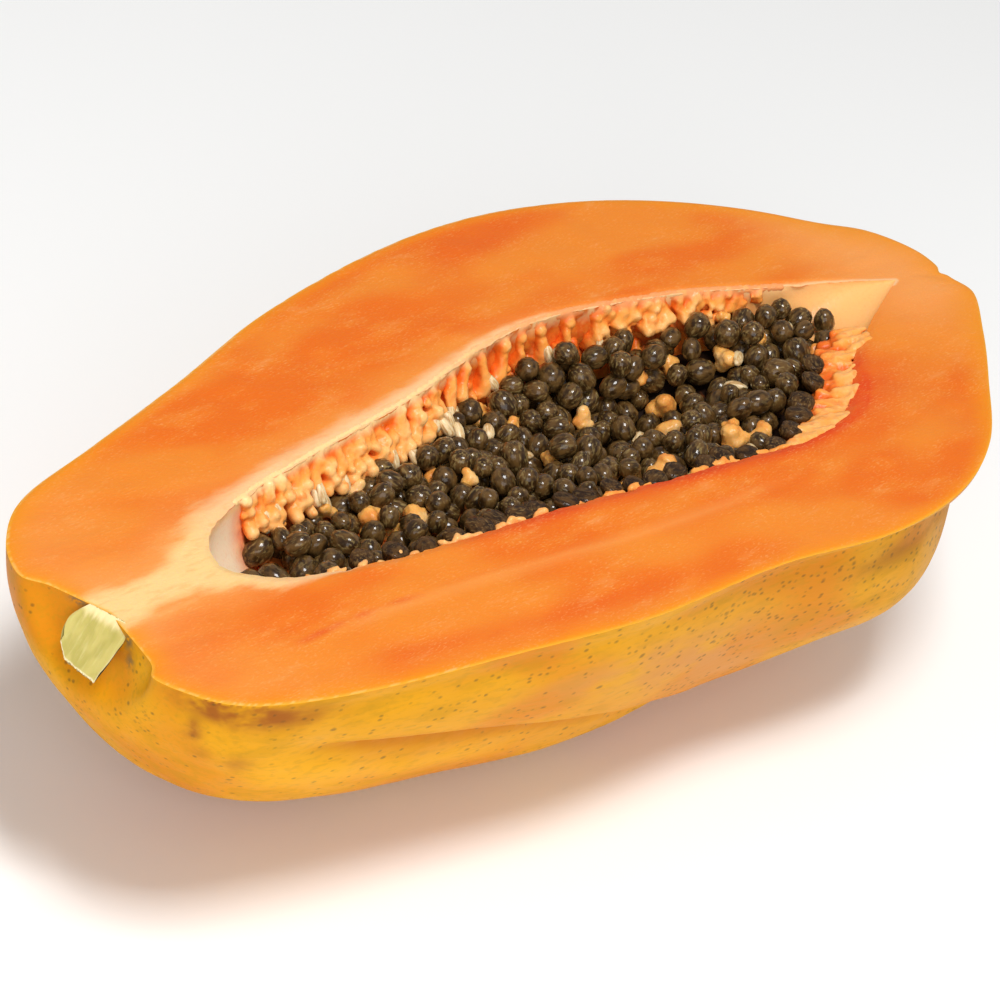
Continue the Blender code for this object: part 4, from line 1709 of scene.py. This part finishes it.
    def lay_beside_lip(self) -> None:
        """Lay the seeds that the knife went through, flush with the cut face along the near lip."""
        x = self.sliced_span[0]
        while x < self.sliced_span[1]:
            near = self.form.cavity_at(x)[1] + self.form.shelf_at(x)
            radius = self.chance.uniform(2.9, 3.8) * MM
            inward = radius * self.chance.uniform(0.75, 1.15)
            under = self.chance.uniform(0.9, 2.4) * MM + 0.25 * radius
            self.bodies.append((x, near + inward, -under, radius, Kind.SLICED))
            x += self.chance.uniform(5.5, 10.5) * MM

    def slice_near_lip(self) -> None:
        """Mark the seeds that the knife went through, along the near lip."""
        for index, (x, y, z, radius, kind) in enumerate(self.bodies):
            gap = y - self.form.cavity_at(x)[1] - self.form.shelf_at(x)
            high = z + radius > -self.cut_depth_mm * MM
            along = self.cut_span[0] < x < self.cut_span[1]
            if kind is Kind.SEED and high and gap < self.cut_reach_mm * MM and along:
                self.bodies[index] = (x, y, z, radius, Kind.SLICED)

    def egg(self) -> tuple[Array, list[tuple[int, ...]]]:
        """Model one seed: a cube, subdivided, rounded and drawn out to an egg."""
        deselect()
        bpy.ops.mesh.primitive_cube_add(size=2.0)
        made = bpy.context.object
        bpy.ops.object.mode_set(mode="EDIT")
        bpy.ops.mesh.select_all(action="SELECT")
        bpy.ops.mesh.subdivide(number_cuts=2)
        bpy.ops.transform.tosphere(value=1.0)
        bpy.ops.object.mode_set(mode="OBJECT")
        points = points_of(made)
        points = points / np.linalg.norm(points, axis=1, keepdims=True)
        faces = [tuple(polygon.vertices) for polygon in made.data.polygons]
        bpy.data.objects.remove(made, do_unlink=True)
        taper = 1.0 - 0.10 * points[:, :1]
        points = points * np.concatenate([np.ones_like(taper), taper, taper], axis=1)
        return points, faces

    def copies(self, name: str, places: Array, sizes: Array, turns: Sequence[Matrix], flat: Array) -> Piece:
        """Set a copy of the seed at each place.

        Args:
            name: the piece's name.
            places: the centres.
            sizes: half lengths along each seed's three axes.
            turns: each seed's turn.
            flat: height over each centre where the knife cuts it off, in radii.

        Returns:
            The joined piece, with each seed's own place and tone as attributes.
        """
        shape, faces = self.egg()
        shapes = []
        own = []
        tone = []
        for place, size, turn, cut in zip(places, sizes, turns, flat):
            offset = self.chance.uniform(-1.0, 1.0, 3) * 0.05
            dents = 1.0 + 0.06 * fractal(shape * 0.003 + offset, 2.6)
            local = shape * size * dents[:, None]
            moved = local @ np.array(turn).T
            limit = cut * size.min()
            moved[:, 2] = np.minimum(moved[:, 2], limit + 0.18 * (moved[:, 2] - limit))
            shapes.append(moved + place)
            own.append(local + offset)
            tone.append(np.full(len(shape), self.chance.random()))
        made = mesh_of(name, shapes, faces)
        set_trait(made, "seed_place", np.concatenate(own), "FLOAT_VECTOR")
        set_trait(made, "tone", np.concatenate(tone))
        smooth(made, 180.0)
        return made

    def of_kind(self, kind: Kind) -> tuple[Array, Array]:
        """Give the centres and radii of all bodies of a kind."""
        chosen = np.array([body[:4] for body in self.bodies if body[4] is kind])
        return chosen[:, :3], chosen[:, 3]

    def seeds(self, name: str, kind: Kind, finish: Material) -> Piece:
        """Model the whole or the sliced seeds."""
        centres, radii = self.of_kind(kind)
        count = len(radii)
        stretch = self.chance.normal(self.long_share, 0.07, count)
        flatness = self.chance.uniform(0.88, 0.99, count)
        sizes = np.stack([radii * stretch, radii * 0.97, radii * flatness], axis=1)
        turns = [Euler(self.chance.uniform(-math.pi, math.pi, 3)).to_matrix() for _ in range(count)]
        flat = np.full(count, 0.25 if kind is Kind.SLICED else 9.0)
        made = self.copies(name, centres, sizes, turns, flat)
        made.data.materials.append(finish)
        return made

    def pale_seeds(self, stalks: Sequence[tuple[Vector, Vector]]) -> Piece:
        """Model the undeveloped seeds of the heap, and those on the stalks' tips."""
        centres, _ = self.of_kind(Kind.PALE)
        places = list(centres)
        turns = [
            Euler((0.0, self.chance.uniform(-0.5, 0.5), self.chance.uniform(-math.pi, math.pi))).to_matrix()
            for _ in places
        ]
        for tip, out in stalks:
            places.append(np.array(tip + out * 2.0 * MM))
            turns.append((-out).to_track_quat("X", "Z").to_matrix())
        count = len(places)
        long_half = self.chance.uniform(2.5, 3.5, count)
        wide = self.chance.uniform(1.3, 1.75, count)
        sizes = np.stack([long_half, wide, wide * self.chance.uniform(0.75, 1.0, count)], axis=1) * MM
        made = self.copies("papaya_seeds_pale", np.array(places), sizes, turns, np.full(count, 9.0))
        made.data.materials.append(PaleSeedSkin().material())
        return made

    def lumps(self) -> Piece:
        """Model the lumps of ripe pulp among the seeds."""
        strands = []
        for centre, radius in zip(*self.of_kind(Kind.LUMP)):
            for _ in range(3):
                middle = Vector(centre) + Vector(self.chance.uniform(-0.50, 0.50, 3)) * radius
                reach = Vector(self.chance.uniform(-0.40, 0.40, 3)) * radius
                sizes = self.chance.uniform(0.50, 0.80, 2) * radius
                strands.append(Strand(middle - reach, middle + reach, float(sizes[0]), float(sizes[1])))
        mass = soft_mass("papaya_pulp_lumps", strands, 0.45, 2)
        roughen(mass, 1.8, 0.30)
        mass.data.materials.append(RipePulp().material())
        return mass

    def core(self) -> Piece:
        """Model the lower heap that the loose bodies lie on, near black as painted shade between them."""
        drop = (self.core_drop_mm - 0.5) * MM

        def top_height(x: Array, y: Array) -> Array:
            """Give the height of the heap's rounded top."""
            cell = self.core_cell_mm * MM
            cells = np.array([noise.voronoi(Vector((a, b, 0.0)) / cell)[0][0] for a, b in zip(x, y)])
            dip = self.pit_at(x, y) * self.pit_drop_mm * MM
            return -self.form.sink(x, y) - drop - dip + (0.4 - cells) * self.core_bump_mm * MM

        def place(share: Array, across: Array, upper: bool) -> Array:
            """Give the points of the top or of the underside."""
            low, high = self.form.bed_span
            x = low + 0.012 + (high - low - 0.015) * share
            level = -np.minimum(self.form.sink(x, 0.0 * x) + drop, self.form.cavity_at(x)[2] * 0.80)
            far_y, near_y = self.form.wall_at(x, level)
            y = near_y + (far_y - near_y) * (0.03 + 0.94 * across)
            crown = np.sin(across * math.pi) ** 0.5 * np.sin(share * math.pi) ** 0.3
            floor = self.form.floor(x, y) + 0.6 * MM
            goal = np.maximum(top_height(x, y), floor + 0.3 * MM) if upper else np.minimum(floor, level)
            return np.stack([x, y, level + (goal - level) * crown], axis=-1)

        top, _, _ = patch("core_top", *self.core_grid, lambda share, across: place(share, across, True))
        under, _, _ = patch("core_under", *self.core_grid, lambda share, across: place(share, across, False))
        made = join("papaya_heap_shade_core", [top, under])
        points = points_of(made)
        near_side = ease(12.0 * MM, 22.0 * MM, -points[:, 1])
        pulpy = 0.66 - 0.55 * ease(-0.060, 0.010, points[:, 0]) + 0.30 * near_side
        set_trait(made, "pulpy", pulpy)
        made.data.materials.append(HeapShade().material())
        smooth(made, 60.0)
        return made

    def build(self, stalks: Sequence[tuple[Vector, Vector]]) -> list[Piece]:
        """Fill the heap and model everything in it."""
        self.pour()
        self.slice_near_lip()
        LOG.info("heap: %d bodies", len(self.bodies))
        skin = SeedSkin()
        sliced = SeedSkin(dark="#29180b", brown="#513619", vein="#86693e", roughness=0.45, coat=0.35)
        return [
            self.core(),
            self.seeds("papaya_seeds", Kind.SEED, skin.material("papaya_seed_wet", 0.12)),
            self.seeds("papaya_seeds_sliced", Kind.SLICED, sliced.material("papaya_seed_sliced", 0.45)),
            self.pale_seeds(stalks),
            self.lumps(),
        ]


@dataclass(frozen=True)
class StalkFlesh:
    """Freshly sliced stalk: moist pale green wood with lengthwise fibres, cream where it meets the core."""

    green: str = "#c8b868"
    pale: str = "#d8ca86"
    deep: str = "#b6a858"
    cream: str = "#f3dfa4"
    bark: str = "#8a6a3c"
    edge: str = "#eadcb2"
    roughness: float = 0.50

    def material(self) -> Material:
        """Write the stalk's material: green wood with pale fibres, bark below and cream at the root."""
        recipe = Recipe("papaya_stalk_sliced")
        bark, edge, root = recipe.traits("bark", "edge", "root")
        fibres = recipe.grain(1.1, (0.16, 1.0, 1.0), 3.0, "stalk_place")
        patches = recipe.grain(4.0, (0.5, 1.0, 1.0), 2.0, "stalk_place")
        frayed = recipe.step("Math", (fibres, 0.9, root), **TIMES_PLUS)
        colour = recipe.lay(
            self.green,
            (recipe.step("MapRange", (patches, 0.38, 0.62), **SOFT), self.deep),
            (recipe.step("MapRange", (fibres, 0.48, 0.76, 0.0, 0.45), **SOFT), self.pale),
            (recipe.step("MapRange", (fibres, 0.30, 0.60, 0.0, bark), **SOFT), self.bark),
            (edge, self.edge),
            (recipe.step("MapRange", (frayed, 0.60, 1.45), **SOFT), self.cream),
        )
        return recipe.finish(
            {
                "Base Color": colour,
                "Roughness": self.roughness,
                "Normal": recipe.step("Bump", {"Height": fibres, "Distance": 0.20 * MM, "Strength": 0.6}),
                "IOR": 1.40,
                **glow(0.15, (0.6, 1.0, 0.3), 1.5),
            }
        )


@dataclass
class StalkStub:
    """The stump of the stalk, sliced off obliquely so that a flat green face shows."""

    root: Triple = (-0.1497, 0.0005, 0.0)
    along: Triple = (-0.7027, -0.2008, -0.6826)
    across: Triple = (0.2344, -0.9711, 0.0444)
    left_mm: tuple[float, ...] = (-4.6, -6.2, -7.3, -7.2, -6.2)
    right_mm: tuple[float, ...] = (5.0, 7.0, 6.8, 6.5, 5.9)
    end_mm: tuple[float, ...] = (10.6, 13.6, 14.3, 14.8, 15.4)
    thick_mm: float = 5.6
    hollow_mm: float = 0.5
    tip_from: float = 0.86
    grid: tuple[int, int] = (60, 48)

    def shape_at(self, share: Array, side: Array, upper: bool) -> Array:
        """Place points of the sliced face or of the bark under it."""
        reach = np.clip(share / self.tip_from, 0.0, 1.0)
        close = np.clip((share - self.tip_from) / (1.0 - self.tip_from), 0.0, 1.0)
        left = spline([(value,) for value in self.left_mm], reach * (len(self.left_mm) - 1))[:, 0]
        right = spline([(value,) for value in self.right_mm], reach * (len(self.right_mm) - 1))[:, 0]
        end = spline([(value,) for value in self.end_mm], side * (len(self.end_mm) - 1))[:, 0]
        crown = np.sin(side * math.pi)
        down = self.hollow_mm * crown * np.sin(np.clip(share, 0.0, 1.0) * math.pi)
        if not upper:
            taper = (1.0 - 0.45 * reach) * np.minimum(reach * 5.0, 1.0)
            down = self.thick_mm * crown**0.6 * taper * (1.0 - close)
        lengthwise = end * np.where(upper, share, reach)
        widthwise = left + (right - left) * side
        normal = np.cross(np.array(self.across), np.array(self.along))
        normal = normal * np.sign(normal[2])
        offsets = (
            lengthwise[:, None] * np.array(self.along)
            + widthwise[:, None] * np.array(self.across)
            - down[:, None] * normal
        )
        return np.array(self.root) + offsets * MM

    def build(self) -> Piece:
        """Model the stub from its sliced face and its bark, and dress it."""
        face, face_share, face_side = patch("stalk_face", *self.grid, lambda a, b: self.shape_at(a, b, True))
        bark, bark_share, bark_side = patch("stalk_bark", *self.grid, lambda a, b: self.shape_at(a, b, False))
        sides = ((face, face_share, face_side, 0.0), (bark, bark_share, bark_side, 1.0))
        for piece, share, side, under in sides:
            set_trait(piece, "bark", np.full(len(share), under))
            rim = np.minimum((1.0 - side) * 16.0, (1.0 - share) * 12.0)
            tip = np.clip(ease(0.35, 0.6, share) * (0.55 + 0.45 * ease(0.85, 1.0, share)), 0.0, 1.0)
            set_trait(piece, "edge", (1.0 - ease(0.10, 0.45, rim)) * (1.0 - under) * tip)
            set_trait(piece, "root", (1.0 - ease(0.0, 0.34, share)) * (1.0 - under))
        made = join("papaya_stalk", [face, bark])
        points = points_of(made)
        from_root = (points - np.array(self.root)) @ np.array([self.along, self.across]).T
        own = np.stack([from_root[:, 0], from_root[:, 1], np.zeros(len(points))], axis=1)
        set_trait(made, "stalk_place", own, "FLOAT_VECTOR")
        ragged = fractal(points, 1.6, 3) * 0.25 * MM * ease(9.0 * MM, 13.0 * MM, from_root[:, 0])
        move_points(made, points + ragged[:, None] * np.array(self.along))
        made.data.materials.append(StalkFlesh().material())
        smooth(made, 40.0)
        return made


@dataclass(frozen=True)
class FloorFinish:
    """Matt white card."""

    white: str = "#fbfbfa"

    def material(self) -> Material:
        """Write the floor's material."""
        recipe = Recipe("floor_white_card")
        return recipe.finish({"Base Color": linear(self.white), "Roughness": 0.9, "Specular IOR Level": 0.1})


@dataclass(frozen=True)
class SoftLight:
    """One square studio light that faces the fruit."""

    name: str
    azimuth: float
    elevation: float
    distance: float
    size: float
    watts: float
    tint: Triple = (1.0, 1.0, 1.0)

    def add(self, target: Vector) -> None:
        """Hang the light and turn it to the target."""
        turn = math.radians(self.azimuth)
        rise = math.radians(self.elevation)
        away = Vector((math.sin(turn) * math.cos(rise), -math.cos(turn) * math.cos(rise), math.sin(rise)))
        data = bpy.data.lights.new(self.name, "AREA")
        data.shape = "SQUARE"
        data.size = self.size
        data.energy = self.watts
        data.color = self.tint
        lamp = bpy.data.objects.new(self.name, data)
        bpy.context.scene.collection.objects.link(lamp)
        lamp.location = target + away * self.distance
        lamp.rotation_euler = away.to_track_quat("Z", "Y").to_euler()


@dataclass
class Studio:
    """Pale floor, soft light and the camera."""

    form: FruitForm
    azimuth: float = -55.6
    elevation: float = 33.6
    roll: float = 16.3
    distance: float = 1.2
    focal_mm: float = 177.12
    sensor_mm: float = 36.0
    framing: tuple[float, float] = (0.058, 0.074)
    floor_size: float = 8.0
    lights: tuple[SoftLight, ...] = (
        SoftLight("key_overhead", -35.0, 73.0, 1.2, 0.34, 10.8),
        SoftLight("fill_front", -45.0, 20.0, 1.6, 1.2, 11.8),
    )
    sky: float = 0.36

    def build(self) -> None:
        """Set up the floor, the lights and the camera."""
        self.add_floor()
        for light in self.lights:
            light.add(self.form.shift())
        self.add_sky()
        self.add_camera()
        bpy.context.scene.view_settings.view_transform = "Standard"

    def add_floor(self) -> None:
        """Lay the floor under the fruit."""
        deselect()
        bpy.ops.mesh.primitive_plane_add(size=self.floor_size, location=(0.0, 0.0, 0.0))
        floor = bpy.context.object
        floor.name = "floor"
        floor.data.materials.append(FloorFinish().material())

    def add_sky(self) -> None:
        """Fill the room with even white light."""
        world = bpy.data.worlds.new("studio")
        world.use_nodes = True
        room = world.node_tree.nodes["Background"]
        room.inputs["Color"].default_value = linear("#ffffff")
        room.inputs["Strength"].default_value = self.sky
        bpy.context.scene.world = world

    def add_camera(self) -> None:
        """Set the camera, with the middle of the cut face a little off the frame's middle."""
        turn = math.radians(self.azimuth)
        rise = math.radians(self.elevation)
        back = Vector((math.sin(turn) * math.cos(rise), -math.cos(turn) * math.cos(rise), math.sin(rise)))
        level = Matrix.Rotation(turn, 3, "Z") @ Matrix.Rotation(math.pi / 2.0 - rise, 3, "X")
        rolled = level @ Matrix.Rotation(math.radians(self.roll), 3, "Z")
        seen = Vector((self.framing[0] * self.sensor_mm, self.framing[1] * self.sensor_mm, -self.focal_mm))
        aim = seen.rotation_difference(Vector((0.0, 0.0, -1.0))).to_matrix()
        data = bpy.data.cameras.new("camera")
        data.lens = self.focal_mm
        data.sensor_width = self.sensor_mm
        data.clip_start = 0.01
        camera = bpy.data.objects.new("camera", data)
        bpy.context.scene.collection.objects.link(camera)
        place = Matrix.Translation(self.form.shift() + back * self.distance)
        camera.matrix_world = place @ (rolled @ aim).to_4x4()
        bpy.context.scene.camera = camera


def main() -> None:
    """Build the papaya half's looks."""
    logging.basicConfig(level=logging.INFO, format="%(name)s: %(message)s")
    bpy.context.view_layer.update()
    form = FruitForm()
    chance = np.random.default_rng(RANDOM_START)
    set_down(FruitBody(form).build(), form, "papaya_half")
    placenta = Placenta(form, chance)
    set_down(placenta.build(), form, "seed_bed")
    for piece in SeedHeap(form, chance).build(placenta.stalks):
        set_down(piece, form, "seed_bed")
    set_down(StalkStub().build(), form, "stem_stub")
    Studio(form).build()


if __name__ == "__main__":
    main()
